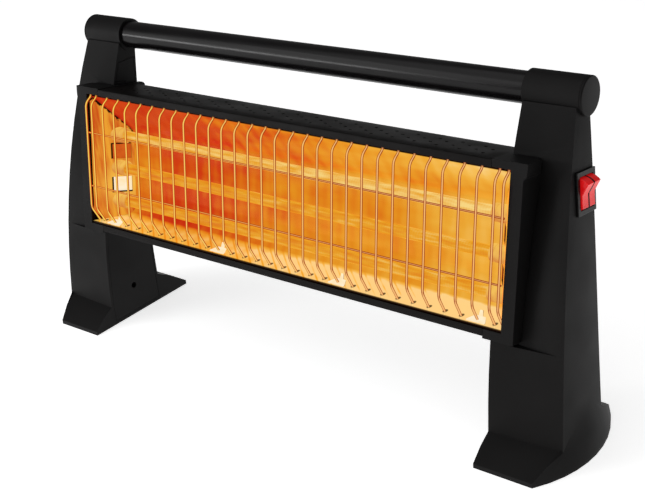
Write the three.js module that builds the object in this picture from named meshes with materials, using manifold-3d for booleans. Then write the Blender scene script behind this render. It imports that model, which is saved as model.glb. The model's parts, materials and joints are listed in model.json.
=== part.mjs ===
// Portable electric bar heater: three glowing quartz tubes in a polished trough, behind a wire
// guard, in a bent sheet case that leans back between two moulded legs joined by a round carrying bar.
// Millimetres. X runs along the heater, its front faces -Y, Z is up, and the feet stand on Z = 0.
import * as THREE from 'three';
import { mergeGeometries, mergeVertices } from 'three/addons/utils/BufferGeometryUtils.js';
import Module from 'manifold-3d';

const wasm = await Module();
wasm.setup();

// ---- driving dimensions ----
const clearance = 0.3;            // between pieces that touch
const sheet = 1;                  // case sheet
const reflectorSheet = 0.8;
const wall = 2.6;                 // moulded legs

const legInnerX = 216;            // the flat inner side of each leg
const footDepth = 126;
const footReachX = 288.7;         // the widest point of the foot
const footArcRadius = 105;        // plan radius of the foot's outer edge
const footLip = 4;                // upright edge round the foot
const footFloor = 3;

const bodyTilt = THREE.MathUtils.degToRad(10.2);
const bodyFrontY = -35.5;         // the case's front bottom edge
const bodyBottomZ = 101.1;
const bodyHeight = 139;
const bodyDepth = 60;
const caseHalfLength = 211.7;
const caseRearRadius = 13.5;
const frameInnerX = 212;
const frameOuterX = 238.5;
const frameBlockDepth = 36;
const frameFoot = 0.5;            // the frame reaches this far below the case
const frameLipX = 241.6;            // a lip at the frame's top outer corner
const frameLipDepth = 20;
const frameLipFoot = bodyHeight - 14.5;
const openingX = 227.8;
const openingBottom = 7;
const openingTop = bodyHeight - 6.3;

const barRadius = 12.4;
const barWall = 1.4;
const barY = 42.4;
const barZ = 274.8;
const sleeveRadius = 15;
const sleeveInnerX = 214.8;
const sleeveOuterX = 261.2;
const capThickness = 2;
const barSides = 30;

const wirePitch = 15;
const wireCount = 30;             // evenly spaced ones, with half a pitch to one more at each end
const wireRadius = 1.2;
const crossWireRadius = 1;
const crossWireHeights = [44.6, 96.5];
const guardFrontDepth = -3.6;     // the guard's face stands this far in front of the case

const lowestTube = 27.8;
const tubePitch = 32;
const tubeHeights = [0, 1, 2].map((row) => lowestTube + row * tubePitch);
const tubeDepth = 25.5;
const tubeRadius = 5;
const tubeWall = 1;
const tubeHalfLength = 208;
const ceramicRadius = 7.2;
const ceramicInnerX = 202;
const ceramicOuterX = 221;

const switchWidth = 27.2;
const switchHeight = 32.4;
const switchY = 24.8;
const switchZ = 208;
const switchLean = THREE.MathUtils.degToRad(8);
const rockerRadius = 12;
const rockerGap = 1;

// ---- materials ----
const material = (color, roughness, metalness = 0) => new THREE.MeshStandardMaterial({ color, roughness, metalness });
const charcoalPlastic = material(0x2b2a2a, 0.62);
const blackSheet = material(0x1d1c1c, 0.5, 0.2);
const glossBlack = material(0x141315, 0.18, 0.1);
const chromeWire = material(0xd9d4cc, 0.18, 1);
const polishedSteel = material(0xcfcac2, 0.15, 1);
const glowingQuartz = material(0xffa63a, 0.4);
const coilMetal = material(0xff7a1e, 0.6, 0.5);
const ceramic = material(0xe9e2d2, 0.7);
const redPlastic = material(0xd3161c, 0.3);
const blackPlastic = material(0x111111, 0.35);
const screwSteel = material(0x8a8782, 0.35, 1);
const brass = material(0xb8963e, 0.35, 1);

// ---- shape helpers ----
const vec = (x, y, z) => new THREE.Vector3(x, y, z);

function toSolid(geometry) {
  const plain = new THREE.BufferGeometry();
  plain.setAttribute('position', geometry.getAttribute('position').clone());
  if (geometry.index) plain.setIndex(geometry.index.clone());
  const merged = mergeVertices(plain, 1e-4);
  return new wasm.Manifold(new wasm.Mesh({
    numProp: 3,
    vertProperties: new Float32Array(merged.getAttribute('position').array),
    triVerts: new Uint32Array(merged.index.array),
  }));
}

function toGeometry(solid) {
  const mesh = solid.getMesh();
  const geometry = new THREE.BufferGeometry();
  geometry.setAttribute('position', new THREE.BufferAttribute(new Float32Array(mesh.vertProperties), 3));
  geometry.setIndex(new THREE.BufferAttribute(new Uint32Array(mesh.triVerts), 1));
  return geometry;
}

const join = (first, ...rest) => toGeometry(rest.reduce((sum, piece) => sum.add(toSolid(piece)), toSolid(first)));
const cut = (first, ...rest) => toGeometry(rest.reduce((left, piece) => left.subtract(toSolid(piece)), toSolid(first)));
const overlap = (first, second) => toGeometry(toSolid(first).intersect(toSolid(second)));

// Separate closed solids as one cutter.
function together(geometries) {
  return mergeGeometries(geometries.map((geometry) => {
    const plain = geometry.index ? geometry.toNonIndexed() : geometry.clone();
    plain.deleteAttribute('normal');
    plain.deleteAttribute('uv');
    return plain;
  }));
}

function box(x0, x1, y0, y1, z0, z1) {
  const geometry = new THREE.BoxGeometry(x1 - x0, y1 - y0, z1 - z0);
  return geometry.translate((x0 + x1) / 2, (y0 + y1) / 2, (z0 + z1) / 2);
}

function cylinderX(radius, x0, x1, y, z, sides = 24) {
  const geometry = new THREE.CylinderGeometry(radius, radius, x1 - x0, sides);
  return geometry.rotateZ(-Math.PI / 2).translate((x0 + x1) / 2, y, z);
}

function cylinderY(radius, x, y0, y1, z, sides = 24) {
  return new THREE.CylinderGeometry(radius, radius, y1 - y0, sides).translate(x, (y0 + y1) / 2, z);
}

// A YZ outline pushed along X.
function extrudeX(shape, x0, x1) {
  const geometry = new THREE.ExtrudeGeometry(shape, { depth: x1 - x0, bevelEnabled: false, curveSegments: 6 });
  const axes = new THREE.Matrix4().makeBasis(vec(0, 1, 0), vec(0, 0, 1), vec(1, 0, 0));
  return geometry.applyMatrix4(axes).translate(x0, 0, 0);
}

// A revolved piece on an axis along X: the profile gives radius and X.
function turned(profile, y, z, sides = 24) {
  const points = profile.map(([radius, x]) => new THREE.Vector2(radius, x));
  return new THREE.LatheGeometry(points, sides).rotateZ(-Math.PI / 2).translate(0, y, z);
}

// A closed skin over rings with equal numbers of points, each end closed by a fan.
function loft(rings) {
  const count = rings[0].length;
  const points = rings.flat();
  const faces = [];
  for (let ring = 0; ring + 1 < rings.length; ring += 1) {
    for (let i = 0; i < count; i += 1) {
      const next = (i + 1) % count;
      const a = ring * count + i;
      const b = ring * count + next;
      faces.push(a, b, b + count, a, b + count, a + count);
    }
  }
  const ends = [[0, -1], [rings.length - 1, 1]];
  for (const [ring, side] of ends) {
    const centre = rings[ring].reduce((sum, point) => sum.add(point), vec(0, 0, 0)).divideScalar(count);
    points.push(centre);
    for (let i = 0; i < count; i += 1) {
      const a = ring * count + i;
      const b = ring * count + (i + 1) % count;
      if (side > 0) faces.push(a, b, points.length - 1);
      else faces.push(b, a, points.length - 1);
    }
  }
  const geometry = new THREE.BufferGeometry().setFromPoints(points);
  geometry.setIndex(faces);
  return geometry;
}

// An open outline shifted sideways by a distance, to its left, with mitred corners.
function shifted(path, distance) {
  return path.map((point, i) => {
    const before = path[Math.max(i - 1, 0)];
    const after = path[Math.min(i + 1, path.length - 1)];
    const inward = point.clone().sub(before).normalize();
    const onward = after.clone().sub(point).normalize();
    if (i === 0) inward.copy(onward);
    if (i === path.length - 1) onward.copy(inward);
    const normal = new THREE.Vector2(-inward.y - onward.y, inward.x + onward.x).normalize();
    const stretch = 1 / Math.max(0.3, normal.dot(new THREE.Vector2(-inward.y, inward.x)));
    return point.clone().addScaledVector(normal, distance * stretch);
  });
}

// A bent strip of sheet: the outline is its outer face, and its thickness goes to the left.
function bentSheet(path, thickness, x0, x1) {
  return extrudeX(new THREE.Shape([...path, ...shifted(path, thickness).reverse()]), x0, x1);
}

const flat = (y, z) => new THREE.Vector2(y, z);

function arc(centreY, centreZ, radius, from, to, steps) {
  return Array.from({ length: steps + 1 }, (_, i) => {
    const angle = THREE.MathUtils.degToRad(from + (to - from) * i / steps);
    return flat(centreY + radius * Math.cos(angle), centreZ + radius * Math.sin(angle));
  });
}

function mirrored(geometry) {
  const copy = toSolid(geometry).mirror([1, 0, 0]);
  return toGeometry(copy);
}

// ---- the leaning body's own frame: Y is depth behind its front, Z is height along it ----
const bodyMatrix = new THREE.Matrix4().makeRotationX(-bodyTilt).setPosition(0, bodyFrontY, bodyBottomZ);

// ---- legs ----
const legFront = new THREE.CubicBezierCurve(flat(-36.2, 20), flat(-27.7, 105), flat(-9, 188), flat(27.6, 270));
const legRear = new THREE.CubicBezierCurve(flat(26.2, 28), flat(26, 110), flat(36, 190), flat(47.5, 270));
const legOuter = new THREE.CubicBezierCurve(flat(279.5, 20), flat(276.3, 105), flat(270, 188), flat(259.6, 270));
const legTwist = 4.5;             // how far the front's inner edge stands before its outer edge
const legCrown = 1.8;             // outward bulge of the outer side at the foot, fading upward
const creaseRise = 14;            // the foot's flare climbs this much at mid depth
const footArcCentreX = footReachX - footArcRadius;
const coveFoot = 0.3;             // shares of the leg's height
const coveTop = 0.86;

// One turn round a leg's section: front, outer side, rear, and the flat inner side.
function legRing({ frontInner, frontOuter, rearOuter, rearInner, crown, rise = 0 }) {
  const across = 2;
  const along = 10;
  const halfChord = frontOuter.distanceTo(rearOuter) / 2;
  const radius = (halfChord ** 2 + crown ** 2) / (2 * crown);
  const bulge = (t) => Math.sqrt(radius ** 2 - (halfChord * (2 * t - 1)) ** 2) - (radius - crown);
  const ring = [];
  for (let i = 0; i < across; i += 1) ring.push(frontInner.clone().lerp(frontOuter, i / across));
  for (let i = 0; i < along; i += 1) {
    const t = i / along;
    const point = frontOuter.clone().lerp(rearOuter, t);
    ring.push(point.add(vec(bulge(t), 0, rise * (1 - (2 * t - 1) ** 2))));
  }
  for (let i = 0; i < across; i += 1) ring.push(rearOuter.clone().lerp(rearInner, i / across));
  ring.push(rearInner);
  return ring;
}

// Depth of the front's inner edge at a share t of the leg's height above the crease.
const innerFrontY = (t) => legFront.getPoint(t).x - legTwist * Math.sin(Math.PI * Math.min(1, t + 0.2)) - 0.5;

// The leg's section at a share t of its height above the crease, drawn in by an inset.
function columnRing(t, inset, innerX) {
  const front = legFront.getPoint(t);
  const rear = legRear.getPoint(t);
  const outer = legOuter.getPoint(t).x - inset;
  return legRing({
    frontInner: vec(innerX, innerFrontY(t) + inset, front.y),
    frontOuter: vec(outer, front.x + inset, front.y),
    rearOuter: vec(outer, rear.x - inset, rear.y),
    rearInner: vec(innerX, rear.x - inset, rear.y),
    crown: legCrown * (1 - 0.8 * t),
    rise: creaseRise * Math.max(0, 1 - 6 * t) ** 2,
  });
}

// The foot's outline at a share of the way in from its edge (0) to the crease (1).
function footRing(z, share, bow) {
  const half = footDepth / 2;
  const crease = columnRing(0, 0, legInnerX);
  const cornerX = footArcCentreX + Math.sqrt(footArcRadius ** 2 - half ** 2);
  const edge = legRing({
    frontInner: vec(legInnerX, -half, z),
    frontOuter: vec(cornerX, -half, z),
    rearOuter: vec(cornerX, half, z),
    rearInner: vec(legInnerX, half, z),
    crown: footReachX - cornerX,
  });
  return edge.map((point, i) => point.lerp(crease[i], share).add(vec(0, 0, bow)));
}

function legOutside() {
  const steps = 10;
  const rings = [footRing(0, 0, 0), footRing(footLip, 0, 0), footRing(footLip, 0.5, 1.6)];
  for (let i = 0; i <= steps; i += 1) rings.push(columnRing(i / steps, 0, legInnerX));
  return loft(rings);
}

const hollowTop = 0.93;
const hollowSteps = 5;

function legHollow() {
  const mouthX = legInnerX - 1;
  const floor = columnRing(0, wall, mouthX).map((point) => vec(point.x, point.y, footFloor));
  const rings = [floor];
  for (let i = 0; i <= hollowSteps; i += 1) rings.push(columnRing(hollowTop * i / hollowSteps, wall, mouthX));
  return cut(loft(rings), legCove(wall), bodyNotch(wall));
}

// The scooped face beside the case: deepest next to the frame, running out at the leg's outer edge.
// Its foot is a ledge, and it fades out at the top.
function legCove(margin = 0) {
  const lowDepth = 2.2;
  const highDepth = 8;
  const inner = frameOuterX - 6;
  const across = 4;
  const shares = [0, 0.3, 0.6, 0.85, 1];
  const rings = shares.map((share) => {
    const t = coveFoot + (coveTop - coveFoot) * share;
    const front = legFront.getPoint(t);
    const outerX = legOuter.getPoint(t).x - 2;
    const depth = share === 1 ? 0 : lowDepth + (highDepth - lowDepth) * share;
    const ring = [];
    for (let k = 0; k <= across; k += 1) {
      const run = k / across;
      ring.push(vec(inner + (outerX - inner) * run, front.x - 0.5 + margin + depth * (1 - run) ** 1.6, front.y));
    }
    ring.push(vec(outerX, front.x - 40, front.y), vec(inner, front.x - 40, front.y));
    return ring.reverse();
  });
  return loft(rings);
}

function bodyNotch(margin = clearance) {
  const block = box(legInnerX - 5, frameOuterX + margin, -60, frameBlockDepth + margin,
    -frameFoot - margin, bodyHeight + margin);
  const lip = box(frameOuterX - 2, frameLipX + margin, -60, frameLipDepth + margin,
    frameLipFoot - margin, bodyHeight + margin);
  return join(block, lip).applyMatrix4(bodyMatrix);
}

function legShell() {
  const sleeve = cylinderX(sleeveRadius, sleeveInnerX, sleeveOuterX, barY, barZ, barSides);
  const bore = cylinderX(barRadius + clearance, sleeveInnerX - 1, sleeveOuterX + 1, barY, barZ, barSides);
  const wireHole = box(222, 234, frameBlockDepth - 2, frameBlockDepth + 8, 30, 50).applyMatrix4(bodyMatrix);
  const outside = cut(legOutside(), legCove(), legHollow(), bodyNotch(), wireHole);
  return cut(join(outside, sleeve), bore);
}

// The right leg also takes the switch and the mains lead's bush.
function rightLegShell() {
  const seatDepth = 3;
  const seat = box(-switchWidth / 2 - clearance, switchWidth / 2 + clearance, -switchHeight / 2 - clearance,
    switchHeight / 2 + clearance, -clearance, seatDepth);
  const hole = box(-housingWidth / 2 - clearance, housingWidth / 2 + clearance, -housingHeight / 2 - clearance,
    housingHeight / 2 + clearance, -10, seatDepth);
  const bushHole = cylinderY(bushRadius + clearance, bush.x, bush.y - 8, bush.y + 4, bush.z, 20);
  return cut(legShell(), seat.applyMatrix4(switchMatrix), hole.applyMatrix4(switchMatrix), bushHole);
}

// The plate that closes the leg's inner side.
function legCover() {
  const inset = wall + clearance;
  const front = [flat(innerFrontY(0) + inset, footFloor + clearance)];
  const rear = [flat(legRear.getPoint(0).x - inset, footFloor + clearance)];
  for (let i = 0; i <= hollowSteps; i += 1) {
    const t = hollowTop * i / hollowSteps;
    const drop = i === hollowSteps ? clearance : 0;
    front.push(flat(innerFrontY(t) + inset, legFront.getPoint(t).y - drop));
    rear.push(flat(legRear.getPoint(t).x - inset, legRear.getPoint(t).y - drop));
  }
  const plate = extrudeX(new THREE.Shape([...front, ...rear.reverse()]), legInnerX, legInnerX + coverThickness);
  const { y, z } = legScrew;
  const boss = cylinderX(screwWell + 1.8, legInnerX + 1, screwSeatX + 2, y, z, 16);
  const well = cylinderX(screwWell, legInnerX - 1, screwSeatX, y, z, 16);
  const shankHole = cylinderX(screwShank + clearance, screwSeatX - 1, screwSeatX + 3, y, z, 8);
  return cut(join(plate, boss), bodyNotch(wall + clearance), well, shankHole);
}

const coverThickness = 2.4;
const legScrew = { y: -6.6, z: 30.3 };
const screwWell = 3;
const screwShank = 1.4;
const screwSeatX = legInnerX + 10; // the screw's head sits at the bottom of a well in the cover

function coverScrew() {
  const head = screwSeatX - clearance;
  const headRadius = screwWell - clearance;
  const end = screwSeatX + 12;
  return turned([[0, head - 2], [headRadius, head - 2], [headRadius, head], [screwShank, head], [screwShank, end], [0, end]],
    legScrew.y, legScrew.z, 12);
}

// ---- end frames: the moulded surround at each end of the case ----
const casePath = [
  flat(0, openingBottom),
  ...arc(1.2, 2, 1.2, 180, 270, 2),
  ...arc(bodyDepth - caseRearRadius, caseRearRadius + 0.8, caseRearRadius, 270, 360, 5),
  ...arc(bodyDepth - caseRearRadius, bodyHeight - 0.8 - caseRearRadius, caseRearRadius, 0, 90, 5),
  ...arc(1.2, bodyHeight - 2, 1.2, 90, 180, 2),
  flat(0, openingTop - 0.4),
];

const cheekCorner = 5;

function endFrame() {
  const back = bodyDepth + 0.6;
  const block = box(frameInnerX, frameOuterX, 0, frameBlockDepth, -frameFoot, bodyHeight);
  const cheekOutline = new THREE.Shape([
    flat(0, -frameFoot),
    ...arc(back - cheekCorner, cheekCorner - frameFoot, cheekCorner, 270, 360, 4),
    ...arc(back - cheekCorner, bodyHeight - cheekCorner, cheekCorner, 0, 90, 4),
    flat(0, bodyHeight),
  ]);
  const cheek = extrudeX(cheekOutline, frameInnerX, legInnerX - clearance);
  const sweep = [flat(frameOuterX - 1, frameLipFoot), ...arc(frameLipX, frameLipFoot, frameLipX - frameOuterX, 180, 100, 4)
    .map((point) => flat(point.x, frameLipFoot + (point.y - frameLipFoot) * 1.4)),
    flat(frameLipX, frameLipFoot + 10), flat(frameLipX, bodyHeight), flat(frameOuterX - 1, bodyHeight)];
  const lip = new THREE.ExtrudeGeometry(new THREE.Shape(sweep), { depth: frameLipDepth, bevelEnabled: false })
    .rotateX(Math.PI / 2).translate(0, frameLipDepth, 0);
  const tongue = bentSheet(shifted(casePath.slice(4, -4), sheet + clearance), 1.6, frameInnerX - 8, frameInnerX + 1);
  const pocket = box(frameInnerX - 1, openingX + 2, 1.6, frameBlockDepth + 4, 2, bodyHeight - 1.8);
  const opening = box(frameInnerX - 1, openingX, -1, 2, openingBottom, openingTop);
  const frame = join(cut(join(block, cheek, lip), pocket, opening), tongue);
  return cut(frame, ...caseScrewPlaces.map(caseScrewHole));
}

// ---- the screws that hold the case on the end frames' tongues, through its back ----
const caseScrewX = frameInnerX - 4;
const caseScrewHeights = [25, bodyHeight - 25];
const caseScrewPlaces = [-1, 1].flatMap((side) => caseScrewHeights.map((height) => ({ x: side * caseScrewX, height })));
const caseScrewShank = 1.4;

function caseScrewHole({ x, height }) {
  return cylinderY(caseScrewShank + clearance, x, bodyDepth - 8, bodyDepth + 5, height, 8);
}

function caseScrew({ x, height }) {
  const headRadius = 3.2;
  const headHeight = 1.8;
  const seat = bodyDepth + clearance;
  const head = cylinderY(headRadius, x, seat, seat + headHeight, height, 10);
  const shank = cylinderY(caseScrewShank, x, bodyDepth - 6, seat + 0.5, height, 8);
  return join(head, shank);
}

// ---- sheet case ----
function ventHoles() {
  const rows = 4;
  const rowPitch = 7;
  const holePitch = 20.6;
  const holeRadius = 1.7;
  const firstRow = 14.3;
  const reach = caseHalfLength - 16;
  const holes = [];
  for (let row = 0; row < rows; row += 1) {
    const offset = row % 2 ? holePitch / 2 : 0;
    for (let x = -reach + offset; x <= reach; x += holePitch) {
      const hole = new THREE.CylinderGeometry(holeRadius, holeRadius, 6, 5);
      holes.push(hole.rotateX(Math.PI / 2).translate(x, firstRow + row * rowPitch, bodyHeight - 1));
    }
  }
  return together(holes);
}

function rearSlots() {
  const slots = [];
  const columns = 10;
  const pitch = 36;
  for (const height of [30, 100]) {
    for (let i = 0; i < columns; i += 1) {
      const x = (i - (columns - 1) / 2) * pitch;
      slots.push(box(x - 12, x + 12, bodyDepth - 5, bodyDepth + 5, height, height + 3));
    }
  }
  return together(slots);
}

function sheetCase() {
  const body = bentSheet(casePath, sheet, -caseHalfLength, caseHalfLength);
  return cut(body, ventHoles(), rearSlots(), ...caseScrewPlaces.map(caseScrewHole));
}

// ---- reflector ----
const reflectorFrontTop = 5.4;
const reflectorFrontBottom = 13.4;
const reflectorBack = 38;
const reflectorTopEdge = bodyHeight - 0.8 - sheet - clearance;
const reflectorBottomEdge = 0.8 + sheet + clearance;
const reflectorBend = 11;
const reflectorTopFront = bodyHeight - 8.5;
const topTube = tubeHeights[2];
const reflectorPath = [
  flat(reflectorFrontBottom, reflectorBottomEdge),
  flat(reflectorFrontBottom, openingBottom + 1),
  ...arc(reflectorBack - reflectorBend, openingBottom + 4 + reflectorBend, reflectorBend, 270, 360, 5),
  flat(reflectorBack, topTube + 2.2),
  flat(reflectorBack - 3, topTube + 7.2),
  flat(reflectorFrontTop, reflectorTopFront),
  flat(reflectorFrontTop, reflectorTopEdge),
];
const flareFrontX = 226.6;        // end plates flare outward to the front
const flareBackX = 205;

function flareX(depth) {
  const share = (depth - reflectorFrontTop) / (reflectorBack - reflectorFrontTop);
  return flareFrontX + (flareBackX - flareFrontX) * share;
}

// A block between two flared end walls, each drawn in by an inset.
function flaredBlock(inset) {
  const front = -10;
  const back = reflectorBack + 10;
  const outline = new THREE.Shape([
    flat(flareX(front) - inset, front),
    flat(flareX(back) - inset, back),
    flat(-flareX(back) + inset, back),
    flat(-flareX(front) + inset, front),
  ].reverse());
  return new THREE.ExtrudeGeometry(outline, { depth: bodyHeight + 20, bevelEnabled: false }).translate(0, 0, -10);
}

function reflector() {
  const trough = bentSheet(reflectorPath, reflectorSheet, -flareFrontX - 20, flareFrontX + 20);
  return overlap(trough, flaredBlock(0.4));
}

// The end plate's front edge stands forward of the trough, clear of the guard's last wire.
const endPlateFront = 3;
const endPlateFoot = openingBottom + 11.8;

function reflectorEnd() {
  const trough = shifted(reflectorPath.slice(1, -1), reflectorSheet + clearance);
  const frontEdge = [
    flat(reflectorFrontTop, trough.at(-1).y - 2.5),
    flat(endPlateFront, trough.at(-1).y - 4.5),
    flat(endPlateFront, endPlateFoot),
    flat(reflectorFrontBottom - 2.4, openingBottom + 2.4),
  ];
  const filled = extrudeX(new THREE.Shape([...trough, ...frontEdge]), flareBackX - 10, flareFrontX + 10);
  const outer = overlap(filled, flaredBlock(0.4));
  const plate = cut(outer, flaredBlock(0.4 + reflectorSheet));
  const holes = tubeHeights.map((height) => cylinderX(ceramicRadius + clearance, ceramicInnerX - 10,
    openingX, tubeDepth, height, 14));
  const slots = tubeHeights.slice(1).map((height, i) => {
    const middle = (height + tubeHeights[i]) / 2;
    return box(ceramicInnerX - 10, openingX, tubeDepth - 6, tubeDepth + 9, middle - 7, middle + 7);
  });
  return cut(plate, ...holes, ...slots);
}

// A plate behind each end plate, slanted like it, that steadies the three ceramic caps.
function capBracket() {
  const front = 17.6;
  const back = 40;
  const gap = 3.2;
  const reach = 11.5;             // above the top tube and below the lowest one
  const block = box(flareBackX - 10, openingX, front, back, lowestTube - reach, topTube + reach);
  const plate = cut(overlap(block, flaredBlock(-gap - reflectorSheet)), flaredBlock(-gap));
  const holes = tubeHeights.map((height) => cylinderX(ceramicRadius + clearance, ceramicInnerX - 10,
    openingX + 2, tubeDepth, height, 14));
  return cut(plate, ...holes);
}

// ---- quartz tubes ----
function quartzTube(height) {
  const inner = tubeRadius - tubeWall;
  const half = tubeHalfLength;
  return turned([[inner, -half], [tubeRadius, -half], [tubeRadius, half], [inner, half], [inner, -half]],
    tubeDepth, height, 14);
}

function heatingCoil(height) {
  const radius = tubeRadius - tubeWall - clearance;
  const coilHalf = tubeHalfLength - 8;
  const leadHalf = ceramicOuterX + 5;
  const lead = 1.2;
  return turned([[0, -leadHalf], [lead, -leadHalf], [lead, -coilHalf - 5], [radius, -coilHalf], [radius, coilHalf],
    [lead, coilHalf + 5], [lead, leadHalf], [0, leadHalf]], tubeDepth, height, 10);
}

function ceramicCap(height, side) {
  const seat = tubeHalfLength + clearance;
  const bore = tubeRadius + clearance;
  const leadHole = 1.5;
  const profile = [[bore, ceramicInnerX], [ceramicRadius, ceramicInnerX + 0.6], [ceramicRadius, ceramicOuterX],
    [leadHole, ceramicOuterX], [leadHole, seat], [bore, seat], [bore, ceramicInnerX]];
  const cap = turned(profile, tubeDepth, height, 14);
  return side < 0 ? mirrored(cap) : cap;
}

// A strip that links the three leads at one end.
function leadStrip() {
  const x = ceramicOuterX + clearance;
  const strip = box(x, x + 0.8, tubeDepth - 4, tubeDepth + 4, lowestTube - 5, topTube + 5);
  return cut(strip, ...tubeHeights.map((height) => cylinderX(1.5, x - 1, x + 2, tubeDepth, height, 10)));
}

function leadTag(height) {
  const x = ceramicOuterX + clearance;
  const tag = box(x, x + 0.8, tubeDepth - 4, tubeDepth + 9, height - 3.5, height + 3.5);
  return cut(tag, cylinderX(1.5, x - 1, x + 2, tubeDepth, height, 10));
}

// ---- wire guard ----
const guardTop = flat(guardFrontDepth, openingTop - 8.3);
const guardFoot = flat(guardFrontDepth + 2, openingBottom + 16.4);
const guardPath = [
  flat(3, openingTop + 2.4),
  flat(3, openingTop - 2.5),
  guardTop,
  guardFoot,
  flat(11, openingBottom - 1.3),
];

function guardWire(x) {
  const sides = 5;
  const rings = guardPath.map((point, i) => {
    const before = guardPath[Math.max(i - 1, 0)];
    const after = guardPath[Math.min(i + 1, guardPath.length - 1)];
    const run = after.clone().sub(before).normalize();
    return Array.from({ length: sides }, (_, k) => {
      const angle = -2 * Math.PI * k / sides;
      const side = wireRadius * Math.cos(angle);
      const out = wireRadius * Math.sin(angle);
      return vec(x + side, point.x - run.y * out, point.y + run.x * out);
    });
  });
  return loft(rings);
}

function wireGuard() {
  const reach = (wireCount - 1) / 2 * wirePitch;
  const places = [-reach - wirePitch / 2, reach + wirePitch / 2];
  for (let i = 0; i < wireCount; i += 1) places.push(-reach + i * wirePitch);
  const uprights = together(places.map(guardWire));
  const end = reach + wirePitch / 2 + 1;
  const crossWires = crossWireHeights.map((height) => {
    const lean = (guardTop.y - height) / (guardTop.y - guardFoot.y);
    const depth = guardTop.x + (guardFoot.x - guardTop.x) * lean + wireRadius + crossWireRadius - 0.5;
    return cylinderX(crossWireRadius, -end, end, depth, height, 5);
  });
  return join(uprights, ...crossWires);
}

// ---- carrying bar ----
function handleBar() {
  const half = sleeveOuterX - 9;
  const inner = barRadius - barWall;
  return turned([[inner, -half], [barRadius, -half], [barRadius, half], [inner, half], [inner, -half]],
    barY, barZ, barSides);
}

function barCap() {
  const start = sleeveOuterX + clearance;
  const plug = barRadius - 0.1;
  return turned([[0, start - 8], [plug, start - 8], [plug, start], [sleeveRadius, start],
    [sleeveRadius, start + capThickness - 0.6], [sleeveRadius - 0.6, start + capThickness], [0, start + capThickness]],
    barY, barZ, barSides);
}

// ---- switch: two rockers side by side in one housing on the right leg's outer side ----
// Its own frame: X across it toward the rear, Y up along the leg, Z out of the leg.
const housingWidth = 22;
const housingHeight = 27.6;
const housingDepth = 16;
const bezelThickness = 2;
const rockerSwing = THREE.MathUtils.degToRad(15);
const rockerPivot = bezelThickness - 3;
const pocketHalfHeight = rockerRadius + clearance;
const pocketHalfWidth = 9.8;

function switchFrame() {
  const steps = 200;
  const heights = legOuter.getPoints(steps);
  const seat = heights.find((point) => point.y >= switchZ);
  const run = legOuter.getTangent(heights.indexOf(seat) / steps);
  const along = vec(run.x, 0, run.y);
  const outward = vec(run.y, 0, -run.x);
  const rearward = vec(0, 1, 0);
  const up = along.clone().multiplyScalar(Math.cos(switchLean)).addScaledVector(rearward, Math.sin(switchLean));
  const across = up.clone().cross(outward);
  return new THREE.Matrix4().makeBasis(across, up, outward).setPosition(seat.x + 0.5, switchY, switchZ);
}

function switchHousing() {
  const flange = box(-switchWidth / 2, switchWidth / 2, -switchHeight / 2, switchHeight / 2, 0, bezelThickness);
  const body = box(-housingWidth / 2, housingWidth / 2, -housingHeight / 2, housingHeight / 2, -housingDepth, 0.5);
  const pocket = box(-pocketHalfWidth, pocketHalfWidth, -pocketHalfHeight, pocketHalfHeight,
    -housingDepth + 2.5, bezelThickness + 1);
  return cut(join(flange, body), pocket);
}

// A rocker with round ends about its pivot and a shallow V across its face, tipped with its top end out.
function rocker(side) {
  const low = -22;
  const high = 36;
  const foldHeight = 4.3;
  const width = pocketHalfWidth - clearance - rockerGap / 2;
  const outline = [
    ...arc(0, 0, rockerRadius, low, high, 5),
    flat(0, foldHeight),
    ...arc(0, 0, rockerRadius, 180 - high, 180 - low, 5),
  ];
  const near = side * rockerGap / 2;
  const far = side * (rockerGap / 2 + width);
  const geometry = extrudeX(new THREE.Shape(outline), Math.min(near, far), Math.max(near, far));
  return geometry.rotateX(rockerSwing).translate(0, 0, rockerPivot);
}

// ---- tilt switch: a pendulum that hangs in an open case on the right leg's cover ----
const tilt = { x: legInnerX + coverThickness + clearance, y: 0, z: 79 };
const tiltPinRadius = 1.2;

function tiltCase() {
  const shell = box(tilt.x, tilt.x + 18, -12, 12, tilt.z - 24, tilt.z + 8);
  const inside = box(tilt.x + 2, tilt.x + 20, -10, 10, tilt.z - 22, tilt.z + 6);
  return cut(shell, inside, cylinderX(tiltPinRadius + 0.05, tilt.x - 1, tilt.x + 3, tilt.y, tilt.z, 16));
}

function tiltPin() {
  return cylinderX(tiltPinRadius, tilt.x + 0.1, tilt.x + 15, tilt.y, tilt.z, 16);
}

function tiltPendulum() {
  const hub = cylinderX(3, tilt.x + 4, tilt.x + 12, tilt.y, tilt.z, 12);
  const stem = box(tilt.x + 6, tilt.x + 10, -1.2, 1.2, tilt.z - 12, tilt.z - 1);
  const bob = cylinderX(6, tilt.x + 4, tilt.x + 12, tilt.y, tilt.z - 13, 16);
  return cut(join(hub, stem, bob), cylinderX(tiltPinRadius + clearance, tilt.x, tilt.x + 20, tilt.y, tilt.z, 12));
}

// ---- wiring pieces in the right leg ----
const bush = { x: 250, y: legRear.getPoint(0.06).x, z: 45 };
const bushRadius = 6;

function cordBush() {
  const bore = 3.6;
  const flange = bush.y + clearance;
  const profile = [[bore, bush.y - wall - 4], [bushRadius, bush.y - wall - 4], [bushRadius, flange], [8.5, flange],
    [8.5, flange + 2], [7.5, flange + 3], [bore, flange + 3], [bore, bush.y - wall - 4]];
  const points = profile.map(([radius, y]) => new THREE.Vector2(radius, y));
  return new THREE.LatheGeometry(points, 16).translate(bush.x, 0, bush.z);
}

function terminalBlock() {
  const x = legInnerX + coverThickness + clearance;
  const ways = [-9, 0, 9];
  const block = box(x, x + 13, -14, 14, 38, 52);
  const chimneys = ways.map((y) => cylinderX(2.2, x + 4, x + 14, y, 45, 6));
  const entries = ways.map((y) => new THREE.CylinderGeometry(1.6, 1.6, 20, 6).rotateX(Math.PI / 2)
    .translate(x + 5.5, y, 45));
  return cut(block, ...chimneys, ...entries);
}

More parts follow.
